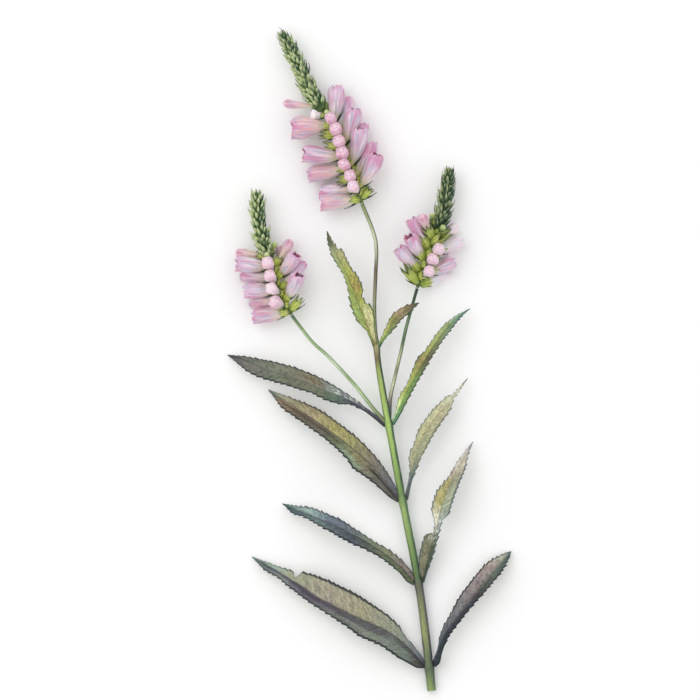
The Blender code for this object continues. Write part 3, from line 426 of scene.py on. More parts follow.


# The leaves. In their tables lengths are in millimetres, and places along a leaf in percent.
# "rib" is the midrib seen from above after its root at the stem, and "heights" the rib's at two fifths
# of its length and at its tip. "left" and "right" are the halves as the stem sees them, by how far each
# one reaches from the midrib, seen from above. "rise" is the angle at which the left and the right half
# rise from the midrib, and "plain" the part of the length before the teeth start. Colours are as seen,
# with the light in them: "along" on the flatter half, and "far", with painted shade, on the steeper
# one. A band is a soft stripe along the blade, from where to where, with its middle and half width across
# the blade (-1 to 1), its strength and its tone. "torn" bands come in ragged patches, "soft" is how far
# the two halves' colours run into each other, and "ribMix" how strongly the midrib shows.

leafPieces = {
    "leaf_1_left": {
        "node": 0, "seat": 170, "heights": (8.8, 1.8), "rise": (38, 2), "plain": 14, "rim": (26, 38, 42),
        "ribTone": (66, 58, 66), "mottle": (118, 110, 128),
        "rib": ((17.2, -179.4), (-8.1, -167), (-32.8, -154.7), (-54.9, -139.7), (-77.4, -127.4)),
        "left": ((0, 1.3), (3, 4.8), (16, 9.2), (35, 9.6), (45, 7.1), (60, 5), (75, 4.4), (85, 2.9),
                 (90, 3.2), (100, 0)),
        "right": ((0, 1.3), (6, 2.8), (16, 3.6), (22, 6.8), (35, 11.4), (50, 13.8), (60, 13.4), (75, 7.8),
                  (77, 1.5), (79, 4.8), (85, 2.6), (100, 0)),
        "along": ((0, 62, 58, 70), (7, 110, 116, 124), (20, 140, 146, 128), (40, 152, 148, 122),
                  (60, 156, 150, 130), (78, 150, 152, 128), (86, 160, 178, 160), (100, 90, 112, 106)),
        "far": ((0, 64, 52, 60), (10, 112, 122, 112), (30, 124, 132, 118), (50, 108, 112, 106),
                (70, 92, 86, 98), (82, 128, 134, 130), (100, 84, 100, 98)),
        # the first band is painted shade beside the midrib, on the steeper half
        "bands": ((22, 96, -0.24, 0.34, 0.62, (62, 54, 70)), (0, 20, -0.1, 0.3, 0.6, (44, 38, 48))),
    },
    "leaf_1_right": {
        "node": 0, "seat": 10, "heights": (10.5, 2.2), "rise": (-12, 58), "plain": 24, "soft": 0.5,
        "ribMix": 0.15, "rim": (26, 28, 42), "ribTone": (54, 52, 60), "mottle": (92, 92, 110),
        "rib": ((48.4, -177.4), (58.2, -164.4), (68.6, -150.8), (79.6, -137.2), (92, -123.8)),
        "left": ((0, 1.3), (12, 0.8), (20, 1.7), (40, 4.8), (55, 7), (80, 6.6), (90, 4), (97, 1.6), (100, 0)),
        "right": ((0, 1.3), (5, 3), (12, 2.5), (50, 2.5), (65, 3.4), (80, 3.6), (97, 1.2), (100, 0)),
        "along": ((0, 76, 84, 90), (20, 86, 94, 102), (45, 116, 116, 116), (65, 138, 128, 126),
                  (82, 158, 144, 138), (93, 172, 176, 158), (100, 84, 90, 104)),
        "far": ((0, 52, 66, 66), (30, 50, 54, 62), (60, 62, 62, 62), (80, 88, 100, 88), (100, 66, 92, 88)),
    },
    "leaf_2_left": {
        "node": 1, "seat": 170, "heights": (12.8, 3), "rise": (60, -30), "plain": 18, "soft": 0.3,
        "rim": (24, 38, 46), "ribTone": (64, 66, 76), "mottle": (84, 88, 120),
        "rib": ((19.2, -133.2), (6.2, -122.8), (-13.3, -111.5), (-32.8, -102.7), (-57.5, -92.6)),
        "left": ((0, 1.3), (6, 3), (16, 2.7), (40, 3.6), (50, 4.6), (60, 4.2), (72, 3.1), (85, 1.9),
                 (90, 2.6), (100, 0)),
        "right": ((0, 1.3), (5, 3.3), (25, 3.3), (35, 2.6), (50, 3.4), (62, 4.9), (80, 4.5), (90, 1.9),
                  (100, 0)),
        "along": ((0, 124, 116, 104), (14, 140, 128, 122), (28, 128, 136, 104), (42, 112, 122, 106),
                  (55, 104, 112, 118), (68, 104, 116, 126), (82, 150, 170, 164), (100, 80, 104, 102)),
        "far": ((0, 110, 120, 88), (25, 104, 114, 86), (50, 74, 80, 88), (75, 104, 122, 122),
                (100, 50, 74, 72)),
        "bands": ((5, 50, 0, 0.22, 0.5, (66, 62, 60)), (40, 85, -0.1, 0.3, 0.35, (64, 68, 78))),
    },
    "leaf_2_right": {
        "node": 1, "seat": 12, "heights": (14.2, 4), "rise": (-12, 50), "plain": 12, "rim": (84, 104, 104),
        "ribTone": (120, 112, 76), "mottle": (150, 150, 130),
        "rib": ((38.7, -122.2), (42.9, -107.9), (47.8, -89.7), (56.2, -70.2), (67, -52)),
        "left": ((0, 1.3), (10, 4), (20, 5.6), (31, 5.4), (34, 0.8), (40, 1.4), (50, 5.9), (58, 6),
                 (72, 2.3), (85, 1.3), (100, 0)),
        "right": ((0, 1.3), (8, 1.7), (25, 2.7), (42, 2), (49, 5), (65, 4.8), (80, 4), (90, 1.5), (100, 0)),
        # at the twist the bright "along" stops at 40 and 46 percent and the first "torn" patch stand for the
        # pale torn edge and a painted highlight on the fold
        "along": ((0, 98, 98, 80), (14, 124, 122, 96), (33, 120, 118, 98), (40, 198, 194, 170),
                  (46, 204, 200, 176), (54, 168, 162, 108), (66, 170, 162, 106), (75, 140, 128, 108),
                  (80, 216, 208, 194), (92, 206, 200, 182), (100, 130, 144, 156)),
        "far": ((0, 64, 74, 70), (30, 84, 92, 72), (42, 140, 150, 148), (55, 168, 176, 150),
                (72, 150, 150, 126), (85, 200, 190, 172), (100, 96, 112, 130)),
        "torn": ((30, 46, 0.2, 1.2, 0.9, (238, 238, 230)), (70, 80, -0.4, 0.6, 0.7, (236, 230, 222))),
    },
    "leaf_3_left": {
        "node": 2, "seat": 168, "heights": (13.6, 3), "rise": (44, -12), "plain": 16, "rim": (28, 38, 42),
        "ribTone": (72, 60, 58), "mottle": (110, 98, 98),
        "rib": ((6.2, -73.4), (-6.8, -60.4), (-26.3, -45.2), (-45.8, -31.8), (-66.6, -18.2)),
        "left": ((0, 1.3), (6, 4), (16, 5.8), (34, 8.9), (37, 7.4), (50, 5.7), (65, 5), (85, 4.6), (94, 2.1),
                 (100, 0)),
        "right": ((0, 1.3), (5, 3), (16, 4.1), (30, 5.9), (45, 7.2), (67, 7.4), (75, 6.1), (85, 3.5),
                  (100, 0)),
        "along": ((0, 64, 60, 70), (10, 104, 106, 112), (26, 122, 116, 104), (42, 146, 144, 98),
                  (55, 158, 152, 96), (70, 158, 146, 114), (85, 156, 150, 120), (93, 158, 168, 144),
                  (100, 90, 114, 110)),
        "far": ((0, 90, 88, 84), (20, 112, 108, 98), (36, 136, 132, 100), (48, 112, 124, 92),
                (62, 102, 96, 86), (78, 112, 102, 86), (90, 150, 134, 112), (100, 86, 106, 100)),
        "bands": ((48, 92, -0.38, 0.2, 0.55, (66, 54, 50)), (2, 27, -0.3, 0.18, 0.75, (36, 34, 38)),
                  (30, 46, -0.8, 0.3, 0.55, (150, 178, 154))),
    },
    "leaf_3_right": {
        "node": 2, "seat": 12, "heights": (14.2, 5), "rise": (-6, 38), "plain": 22, "rim": (96, 106, 88),
        "ribTone": (140, 134, 88), "mottle": (150, 148, 112),
        "rib": ((27, -72.8), (30.2, -58.5), (35.4, -46.1), (43.9, -34.4), (52.3, -24.7), (63.4, -10.7)),
        "left": ((0, 1.3), (18, 1.2), (32, 3.8), (40, 3), (50, 4.2), (65, 4.2), (80, 2.8), (83, 0.6),
                 (100, 0)),
        "right": ((0, 1.3), (14, 1), (30, 3), (45, 4.9), (60, 4.6), (75, 3.2), (83, 0.5), (100, 0)),
        "along": ((0, 70, 78, 92), (14, 96, 108, 116), (25, 156, 156, 128), (50, 180, 178, 138),
                  (72, 190, 188, 152), (88, 208, 206, 186), (95, 190, 180, 150), (100, 70, 80, 110)),
        "far": ((0, 64, 74, 86), (16, 92, 108, 110), (35, 150, 154, 124), (60, 170, 168, 134),
                (88, 190, 186, 156), (100, 70, 80, 110)),
        "torn": ((78, 90, 0, 1.2, 0.6, (236, 236, 224)),),
    },
    "leaf_4_left": {
        "node": 3, "seat": 168, "heights": (14.6, 3), "rise": (34, -6), "plain": 24, "rim": (26, 34, 42),
        "ribTone": (104, 98, 84), "mottle": (104, 100, 116),
        "rib": ((-6.8, -28.3), (-25, -20.5), (-45.8, -11.4), (-65.3, -5.5), (-93.3, 4.6)),
        "left": ((0, 1.3), (22, 1.6), (30, 4.5), (38, 5), (45, 4.8), (55, 5.8), (80, 6), (90, 3.7), (97, 1),
                 (100, 0)),
        "right": ((0, 1.3), (14, 0.9), (22, 1.7), (40, 5.4), (60, 6.1), (72, 5.8), (85, 3.7), (100, 0)),
        "along": ((0, 60, 60, 70), (12, 92, 92, 104), (26, 108, 108, 118), (38, 126, 132, 124),
                  (47, 126, 120, 98), (56, 118, 116, 96), (70, 112, 118, 100), (85, 104, 108, 94),
                  (94, 74, 76, 76), (100, 42, 52, 56)),
        "far": ((0, 54, 54, 66), (20, 64, 64, 78), (34, 92, 110, 92), (50, 110, 110, 92), (70, 102, 110, 94),
                (88, 112, 110, 104), (100, 44, 54, 60)),
        "bands": ((0, 27, 0, 0.95, 0.45, (58, 56, 70)), (42, 56, 0.45, 0.3, 0.45, (96, 74, 58))),
        "torn": ((18, 38, 0.55, 0.55, 0.9, (206, 224, 204)), (2, 22, -0.1, 0.5, 0.35, (190, 204, 196))),
    },
    "leaf_4_right": {
        "node": 3, "seat": 12, "heights": (16.8, 6), "rise": (-12, 50), "plain": 12, "rim": (28, 62, 44),
        "ribTone": (92, 96, 44), "mottle": (104, 110, 60),
        "rib": ((23.7, -18.8), (31.5, -5.2), (39.3, 7.8), (48.4, 20.8), (58.8, 31.2), (65, 34.8)),
        "left": ((0, 1.3), (8, 0.9), (20, 2.4), (30, 1.7), (40, 3), (50, 4.4), (55, 2.6), (75, 2.2),
                 (85, 1.2), (100, 0)),
        "right": ((0, 1.3), (10, 2.3), (35, 2.7), (80, 2.4), (90, 1.2), (100, 0)),
        "along": ((0, 160, 188, 144), (12, 214, 230, 166), (22, 184, 196, 112), (36, 164, 172, 94),
                  (48, 144, 130, 86), (60, 162, 170, 96), (78, 164, 178, 124), (90, 142, 168, 142),
                  (100, 70, 112, 118)),
        "far": ((0, 96, 146, 124), (20, 130, 164, 96), (40, 112, 132, 82), (52, 94, 90, 68),
                (70, 130, 146, 102), (90, 106, 140, 122), (100, 68, 108, 114)),
    },
    "leaf_5_left": {
        "node": 4, "seat": 125, "heights": (20.5, 14), "rise": (26, 6), "plain": 8, "rim": (58, 84, 48),
        "ribTone": (84, 82, 36), "mottle": (160, 152, 84),
        "rib": ((-3.6, 27.3), (-8.8, 40.3), (-13.3, 51.4), (-21.1, 68.2), (-28.3, 85.1)),
        "left": ((0, 1.3), (12, 1.2), (27, 5), (36, 5), (46, 3.3), (62, 1.5), (80, 3), (90, 2.2), (100, 0)),
        "right": ((0, 1.3), (8, 2.7), (30, 7), (36, 4.2), (40, 3.6), (47, 6), (55, 6.2), (66, 4.2),
                  (80, 4.2), (84, 1.2), (100, 0)),
        "along": ((0, 120, 116, 60), (10, 160, 150, 96), (25, 182, 182, 116), (38, 150, 160, 80),
                  (50, 150, 136, 76), (64, 160, 164, 86), (78, 166, 164, 118), (90, 124, 128, 102),
                  (100, 84, 90, 66)),
        "far": ((0, 104, 112, 60), (15, 150, 164, 96), (30, 148, 168, 98), (50, 142, 156, 84),
                (70, 158, 170, 108), (85, 142, 148, 116), (100, 80, 94, 76)),
        "bands": ((86, 104, -0.4, 0.9, 0.6, (58, 60, 42)), (4, 34, 0.55, 0.5, 0.55, (206, 206, 160))),
    },
    "leaf_5_right": {
        "node": 4, "seat": 40, "heights": (20.5, 19.2), "rise": (-4, 40), "plain": 12, "rim": (40, 62, 46),
        "ribTone": (96, 92, 50), "mottle": (120, 124, 70),
        "rib": ((10.7, 19.5), (16.6, 28.6), (24.4, 34.8), (31.5, 38.3)),
        "left": ((0, 1.3), (12, 1), (35, 1.7), (55, 2.7), (80, 1.9), (100, 0)),
        "right": ((0, 1.3), (15, 1.1), (30, 2.1), (55, 3), (80, 2.4), (100, 0)),
        "along": ((0, 64, 123, 98), (10, 158, 179, 106), (30, 178, 185, 106), (50, 136, 134, 82),
                  (68, 160, 138, 108), (85, 120, 102, 78), (100, 62, 82, 70)),
        "far": ((0, 58, 111, 90), (20, 126, 155, 94), (50, 120, 124, 78), (70, 134, 120, 92),
                (100, 56, 76, 66)),
    },
}
leafMake = {
    "wall": 0.0005, "rows": 210, "columns": 20, "quilt": 0.00025, "wave": 0.0006,
    "curl": 0.0009, "droop": 0.0003,  # how far the edge curls here and there, and how far it hangs
    "toothSpacing": 0.0044, "toothDepth": 0.0012, "toothPeak": 0.86, "teethEnd": 0.965,
    "veinSpacing": 0.0088, "veinSlope": 0.9, "veinCurve": 1.25,
    "clasp": 18,  # how much further both halves rise at the stem, in degrees
    "ribRadius": 0.00065, "ribTip": 0.00008,
}


def leafRib(leaf):
    # the midrib in space, from just inside the stem's skin at its node
    stem = Route(stemPiece["route"])
    distance = stemPiece["nodes"][leaf["node"]]
    centre = stem.point(distance)
    _, right, out = stem.frame(distance)
    seat = radians(leaf["seat"])
    outward = right * cos(seat) + out * sin(seat)
    root = centre + outward * readTable(stemPiece["girth"], distance) * 0.9
    seen = Route([(root.x, root.y, 0.0)] + [(x / 1000, y / 1000, 0.0) for x, y in leaf["rib"]])
    top, tip = (height / 1000 for height in leaf["heights"])
    points = []
    for step in range(9):
        share = step / 8
        rise = root.z * (0.4 - share) * (1.0 - share) / 0.4 + top * share * (1.0 - share) / 0.24
        points.append(seen.point(seen.length * share) + skyward * (rise + tip * share * (share - 0.4) / 0.6))
    return Route(points)


def leafTeeth(leaf, length, draw):
    # one side's saw, as (start, end, depth) in shares of the length
    teeth = []
    at = leaf["plain"] / 100 * 0.7
    while at < leafMake["teethEnd"]:
        reach = leafMake["toothSpacing"] / length * draw.uniform(0.75, 1.25) * (1.15 - 0.4 * at)
        teeth.append((at, at + reach, leafMake["toothDepth"] * draw.uniform(0.65, 1.2)))
        at += reach
    return teeth


def toothAt(teeth, share):
    peak = leafMake["toothPeak"]
    for start, end, depth in teeth:
        if start <= share < end:
            phase = (share - start) / (end - start)
            fade = min(1.0, (1.0 - share) / 0.12, start / 0.14)
            return depth * fade * (phase ** 1.4 if phase < peak else (1 - phase) / (1 - peak))
    return 0.0


def leafShape(name, leaf):
    look = leafMake
    route = leafRib(leaf)
    draw = random.Random(name)
    rows, columns = look["rows"], look["columns"]
    sides = {1: "right", -1: "left"}
    teeth = {side: leafTeeth(leaf, route.length, draw) for side in sides}
    veins = route.length / look["veinSpacing"]
    seed = draw.uniform(0, 50)
    lines = []
    for row in range(rows + 1):
        share = row / rows
        along, right, _ = route.frame(route.length * share)
        clasp = look["clasp"] * max(0.0, 1 - share / 0.14)
        halves = {}
        for side, half in sides.items():
            rise = radians(leaf["rise"][side > 0] + clasp + 6 * ripple(share * 2.2, seed, side))
            wide = smoothTable(leaf[half], share * 100) / 1000
            halves[side] = (wide, toothAt(teeth[side], share), tan(rise))
        lines.append((route.point(route.length * share), along, right, halves))

    def place(column, row):
        share = row / rows
        across = 2 * column / columns - 1
        side = 1 if across > 0 else -1
        reach = abs(across)
        centre, along, right, halves = lines[row]
        half, tooth, steep = halves[side]
        wide = half * reach + tooth * reach ** 4
        bend = look["veinSlope"] * reach ** look["veinCurve"] * half / look["veinSpacing"]
        vein = veins * share - bend + 0.5 * (side > 0)
        quilt = abs(sin(pi * vein)) ** 0.7 * sin(pi * reach) * look["quilt"]
        wave = look["wave"] * reach ** 2 * ripple(share * 9, side * 4.0, seed)
        curl = look["curl"] * reach ** 3 * ripple(share * 4, side * 9.0, seed) - look["droop"] * reach ** 5
        rise = wide * steep * (0.72 + 0.28 * reach) + (quilt + wave + curl) * min(1, share * 6)
        return centre + right * side * wide + skyward * rise + along * tooth * 0.8 * reach ** 6

    return shapeGrid(columns, rows, place), route, lines


def leafRibShape(lines):
    # the raised midrib under the blade
    rows = len(lines) - 1

    def place(column, row):
        centre, along, right, _ = lines[row]
        radius = leafMake["ribRadius"] * (1 - row / rows) ** 0.8 + leafMake["ribTip"]
        turn = 2 * pi * column / 8
        out = right.cross(along)
        return centre + right * cos(turn) * radius + out * (sin(turn) * radius - radius * 0.75)

    bm = shapeGrid(8, rows, place, rolled=True)
    closeHoles(bm)
    return bm


def leafFinish(name, leaf, length):
    finish = Finish(name, 0.62, 0.3)
    veinSpacing = leafMake["veinSpacing"]
    widest = max(half for _, half in leaf["left"] + leaf["right"]) / 1000
    shift = (widest * 900, length * 70, 0)
    signed = (finish.around - 0.5) * 2.0  # -1 at the left edge, 1 at the right one
    reach = abs(signed)
    streaks = finish.noise(finish.uvPlace, (9.0, 34.0, 1.0), 3.0, shift=shift)
    place = finish.along + (streaks - 0.5) * 0.10
    near = finish.ramp(place, leaf["along"])
    far = finish.ramp(place, leaf["far"])
    # painted shade: the steeper half takes the "far" colours, the flatter one the "along" ones
    shown = 1 if leaf["rise"][0] > leaf["rise"][1] else -1
    soft = leaf.get("soft", 0.14)
    finish.colour = finish.mix((signed * shown).mask(-soft, soft), far, near)
    blotch = finish.noise(finish.objectPlace, 150.0, 3.0, 0.6)
    finish.over(blotch.mask(0.50, 0.68) * 0.30, leaf["mottle"])
    for band in leaf.get("bands", ()):
        bandOver(finish, signed, band)
    bend = reach ** leafMake["veinCurve"] * (leafMake["veinSlope"] * widest / veinSpacing)
    phase = finish.along * (length / veinSpacing) + signed.work("GREATER_THAN") * 0.5 - bend
    vein = abs((phase * pi).work("SINE"))
    finish.over(vein.mask(0.20, 0.02) * reach.mask(0.96, 0.75) * 0.26, leaf["ribTone"])
    # grain, fine specks, and short strokes that follow the side veins
    grain = finish.noise(finish.uvPlace, (46.0, 230.0, 1.0), 3.0, 0.65)
    specks = finish.noise(finish.objectPlace, 900.0).mask(0.36, 0.64)
    strokes = finish.noise(finish.vector(phase, signed), (3.6, 2.2, 1.0), 2.0, 0.55, shift).mask(0.36, 0.64)
    finish.shade(grain * 1.1 + specks * 0.33 + strokes * 0.42 + 0.14)
    for torn in leaf.get("torn", ()):
        bandOver(finish, signed, torn, streaks.mask(0.50, 0.58))
    finish.over(reach.mask(0.10, 0.03) * leaf.get("ribMix", 0.6), leaf["ribTone"])
    ragged = reach + (grain - 0.5) * 0.12
    finish.over(ragged.mask(0.84, 0.93) * 0.92, leaf["rim"])
    return finish.done(finish.cells(1300.0) * 0.6 + vein * 0.9, 0.00016, 0.55)


def bandOver(finish, signed, band, patches=1.0):
    start, end, at, half, strength, tone = band
    start, end, blur = start / 100, end / 100, 0.04
    cover = abs(signed - at).mask(half, half * 0.4)
    cover = cover * finish.along.mask(start - blur, start + blur) * finish.along.mask(end + blur, end - blur)
    finish.over(cover * strength * patches, tone)


def leafBackFinish():
    finish = Finish("leafUnderside", 0.72, 0.25)
    blotch = finish.noise(finish.objectPlace, 210.0, 3.0, 0.6)
    finish.colour = finish.ramp(blotch, ((25, 112, 118, 96), (50, 134, 138, 112), (75, 152, 150, 126)))
    return finish.done(finish.cells(1200.0), 0.00012, 0.5)


def makeLeaves():
    underside = leafBackFinish()
    for name, leaf in leafPieces.items():
        blade, route, lines = leafShape(name, leaf)
        skin = leafFinish(name + "_skin", leaf, route.length)
        makePiece(name + "_blade", blade, [skin, underside], "leaf", [name], leafMake["wall"])
        makePiece(name + "_rib", leafRibShape(lines), [underside], "leaf", [name])
    print("leaves made")


# The florets

corollaMake = {
    "columns": 44, "tubeRows": 14, "lipRows": 8, "footAt": 0.0036, "lipLength": 0.0042, "wall": 0.00028,
    # radius along the tube, from its foot to its throat
    "profile": ((0.0, 0.0011), (0.12, 0.0021), (0.35, 0.0032), (0.6, 0.0038), (0.86, 0.0041), (1.0, 0.0040)),
    # lips by their middle and half reach in degrees from the top, their length and how far they turn out
    "lips": ((0, 92, 0.0050, 12), (121, 44, 0.0040, 34), (180, 46, 0.0043, 40)),
    "leastLip": 0.0019,
    "hood": 0.0024,  # how far the hood's edge folds in
    "fold": 0.0022,  # how far a floret that hardly gapes folds in all round
    "frill": 0.0003, "pleats": 9, "pleat": 0.025, "uneven": 0.12,
}


def lipAt(turn, gape):
    # length and outward turn of the lip at an angle from the top
    best = (corollaMake["leastLip"], 0.15)
    for middle, half, length, flare in corollaMake["lips"]:
        off = (turn - middle) / half
        reach = length * max(1 - abs(off) ** 3.2, 0.0) ** 0.5
        if reach > best[0]:
            best = (reach * (0.8 + 0.2 * gape), radians(flare) * gape)
    return best


def corollaShape(floret, girth, gape, draw, tone):
    look = corollaMake
    columns, tubeRows, lipRows = look["columns"], look["tubeRows"], look["lipRows"]
    throatAt = floret.length - look["lipLength"]
    seed = draw.uniform(0, 50)
    squeeze = draw.uniform(0.90, 1.0)

    def place(column, row):
        angle = 2 * pi * column / columns + pi
        turn = abs(degrees((angle + pi) % (2 * pi) - pi))
        share = min(row / tubeRows, 1.0)
        along = look["footAt"] + (throatAt - look["footAt"]) * share
        radius = readTable(look["profile"], share) * girth
        radius *= 1 + look["pleat"] * cos(angle * look["pleats"]) * share
        radius *= 1 + look["uneven"] * ripple(cos(angle), sin(angle), seed + share * 2)
        if row > tubeRows:
            reach = (row - tubeRows) / lipRows
            length, flare = lipAt(turn, gape)
            length *= 1 + 0.25 * ripple(cos(angle) * 2, sin(angle) * 2, seed + 9)
            flare = max(flare * (1 + 0.5 * ripple(cos(angle), sin(angle), seed + 20)), 0.02)
            along += length / flare * sin(flare * reach)
            radius += length / flare * (1 - cos(flare * reach))
            radius -= look["hood"] * reach ** 2.4 * max(cos(angle), 0.0) ** 0.6
            radius -= look["fold"] * (1 - gape) * reach ** 2
            frill = look["frill"] * reach ** 2 * ripple(angle * 3, seed, reach)
            along += frill * 1.5
            radius += frill
        up = cos(angle) * radius * (1.0 if turn < 90 else 1.0 + 0.12 * share)
        return floret.point(sin(angle) * radius * squeeze, up, along)

    return shapeGrid(columns, tubeRows + lipRows, place, rolled=True, tone=tone)


stamenMake = {
    "spread": 0.0007, "footAt": 0.006, "thread": 0.00013, "setBack": 0.0012,
    "shorter": 0.0009,  # how much the outer two fall short of the inner ones
    "anther": (0.00032, 0.0006),  # its radius and half its length
}


def stamenShapes(floret, girth, draw):
    # four stamens under the hood, each a thread with an anther at its end
    look = stamenMake
    threads, anthers = [], []
    end = floret.length - look["setBack"]
    for number in range(4):
        across = (number - 1.5) * look["spread"] * girth
        lift = corollaMake["profile"][-1][1] * girth * (0.42 + 0.1 * (number in (1, 2)))
        tip = end - (look["shorter"] if number in (0, 3) else 0.0) + draw.uniform(-0.0003, 0.0003)

        def thread(column, row):
            share = row / 10
            turn = 2 * pi * column / 5
            up = lift * share ** 1.5 + sin(turn) * look["thread"]
            along = look["footAt"] + (tip - look["footAt"]) * share
            return floret.point(across * share + cos(turn) * look["thread"], up, along)

        def anther(column, row):
            turn = 2 * pi * column / 7
            lean = pi * row / 5
            wide = sin(lean) * look["anther"][0]
            along = tip - cos(lean) * look["anther"][1]
            return floret.point(across + cos(turn) * wide, lift + sin(turn) * wide, along)

        threads.append(shapeGrid(5, 10, thread, rolled=True))
        anthers.append(shapeGrid(7, 5, anther, rolled=True))
    return threads, anthers


budMake = {
    "columns": 30, "rows": 18, "footAt": 0.0036, "radius": 0.0037,
    "profile": ((0.0, 0.26), (0.16, 0.42), (0.45, 0.66), (0.70, 0.95), (0.78, 1.0)),
    "crown": 0.78,  # share of the length where the round end starts
    "youngFoot": 0.0030,
    "seams": (72, 148),  # degrees from the top: beside the hood, and beside the lower lip's middle
    "seamDepth": 0.20, "uneven": 0.18,
}


def budShape(floret, radius, draw, tone, foot=None):
    # a closed floret: the hood folded over the lip, with the seams between them
    look = budMake
    foot = look["footAt"] if foot is None else foot
    columns, rows = look["columns"], look["rows"]
    seed = draw.uniform(0, 50)

    def place(column, row):
        share = sin(pi / 2 * row / rows)
        angle = 2 * pi * column / columns
        turn = abs(degrees((angle + pi) % (2 * pi) - pi))
        wide = radius * readTable(look["profile"], share)
        over = max(share - look["crown"], 0.0) / (1 - look["crown"])
        wide *= sqrt(max(1 - over ** 2.6, 0.0))
        square = (abs(cos(angle)) ** 3.4 + abs(sin(angle)) ** 3.4) ** (-1 / 3.4)
        wide *= 1 + (square - 1.05) * min(max(share - 0.3, 0.0) / 0.3, 1.0)
        upper, lower = look["seams"]
        seam = exp(-((turn - upper + 20 * over) / 11) ** 2) + 0.7 * exp(-((turn - lower) / 12) ** 2)
        wide *= 1 - look["seamDepth"] * seam * min(max(share - 0.45, 0.0) / 0.25, 1.0)
        wide *= 1 + look["uneven"] * ripple(cos(angle) * 1.3, sin(angle) * 1.3, seed + share * 2)
        lift = 0.10 * radius * over
        return floret.point(sin(angle) * wide, cos(angle) * wide + lift,
                            foot + (floret.length - foot) * share)

    return shapeGrid(columns, rows, place, rolled=True, tone=tone)


calyxMake = {
    "teeth": 5, "columns": 40, "cupRows": 8, "toothRows": 4, "footAt": 0.0004, "rim": 0.0052, "tooth": 0.0032,
    "wall": 0.00026,
    "profile": ((0.0, 0.0008), (0.10, 0.0016), (0.35, 0.0024), (0.75, 0.0026), (1.0, 0.0024)),
}


def calyxShape(floret, size, draw, tone, longer=1.0):
    look = calyxMake
    across = look["columns"] // look["teeth"]
    seed = draw.uniform(0, 50)
    twist = draw.uniform(-0.3, 0.3)

    def place(column, row):
        angle = 2 * pi * column / look["columns"] + twist
        share = min(row / look["cupRows"], 1.0)
        along = look["footAt"] + (look["rim"] * size - look["footAt"]) * share
        radius = readTable(look["profile"], share) * size
        ribs = cos(angle * 2 * look["teeth"])
        radius *= 1 + 0.07 * ribs + 0.10 * ripple(cos(angle), sin(angle), seed)
        if row > look["cupRows"]:
            reach = (row - look["cupRows"]) / look["toothRows"]
            phase = (column % across) / across
            point = 1 - abs(2 * phase - 1)
            along += look["tooth"] * size * reach * point ** 0.9 * (1 + 0.3 * ripple(column // across, seed))
            radius *= 1 + 0.16 * reach * point
        return floret.point(sin(angle) * radius, cos(angle) * radius, along * longer)

    return shapeGrid(look["columns"], look["cupRows"] + look["toothRows"], place, rolled=True, tone=tone)


bractMake = {
    "columns": 6, "rows": 10, "length": 0.0110, "width": 0.0022, "wall": 0.00028, "root": 0.0013, "drop": 26,
    "keel": 0.95,
}


def bractShape(floret, length, width, root, drop, draw, tone, start=-0.0004):
    # a keeled pointed leaflet below a floret, which leans away and curls back up at its tip
    look = bractMake
    lean = tan(radians(drop))
    twist = draw.uniform(-0.0006, 0.0006)

    def place(column, row):
        share = row / look["rows"]
        across = 2 * column / look["columns"] - 1
        belly = 0.35 + 0.65 * sin(pi * min(share * 1.15 + 0.14, 1.0))
        half = width / 2 * belly * (1 - share ** 4)
        along = start + (length - start) * share
        curl = 0.16 * length * share ** 2.5
        keel = abs(across) * half * look["keel"]
        return floret.point(across * half + twist * share ** 2, -root - along * lean + keel + curl, along)

    return shapeGrid(look["columns"], look["rows"], place, tone=tone)


def petalFinish():
    finish = Finish("petalPink", 0.55, 0.25, Sheen_Weight=0.4, Sheen_Roughness=0.5, Subsurface_Weight=0.25,
                    Subsurface_Scale=0.002)
    along, tone = finish.along, finish.tone
    ring = finish.ring(0.7)
    broad = finish.noise(ring, 1.6)
    narrow = finish.noise(ring, 3.6, 3.0, 0.6)
    thread = finish.noise(ring, (5.5, 5.5, 3.3), 3.0, shift=(22.0, 38.5, 0.0))
    pink = finish.ramp(along + (narrow - 0.5) * 0.18, (
        (0, 210, 210, 150), (10, 232, 208, 180), (22, 236, 206, 204), (45, 234, 204, 220),
        (66, 230, 190, 212), (86, 222, 168, 198), (93, 226, 184, 206), (100, 206, 140, 176),
    ))
    lilac = finish.ramp(along, ((0, 190, 186, 150), (25, 178, 184, 196), (100, 182, 176, 206)))
    finish.colour = finish.mix(narrow.mask(0.46, 0.60) * 0.8, pink, lilac)
    # painted highlight: near-white streaks along the petals
    finish.over(thread.mask(0.50, 0.68) * 0.6, (246, 236, 242))
    finish.over(broad.mask(0.46, 0.60) * 0.8 * along.mask(0.15, 0.5), (212, 138, 176))
    finish.over(thread.mask(0.46, 0.33) * 0.4, (172, 112, 142))
    # salmon patches on the deepest florets, and a pale wash on the lightest
    middle = along.mask(0.05, 0.3) * along.mask(0.95, 0.6)
    finish.over(tone.mask(0.26, 0.08) * narrow.mask(0.62, 0.40) * middle * 0.6, (230, 176, 166))
    finish.over(tone.mask(0.45, 1.0) * 0.85, (244, 232, 238))
    # purple dots in the throat, on the lower lip, where the seam of the map is
    below = finish.wave("COSINE").mask(0.55, 0.95)
    throat = along.mask(0.52, 0.62) * along.mask(0.86, 0.74)
    finish.over(finish.cells(900.0).mask(0.34, 0.26) * below * throat * 0.7, (168, 84, 150))
    return finish.done(finish.noise(ring, 22.0), 0.00012, 0.35)


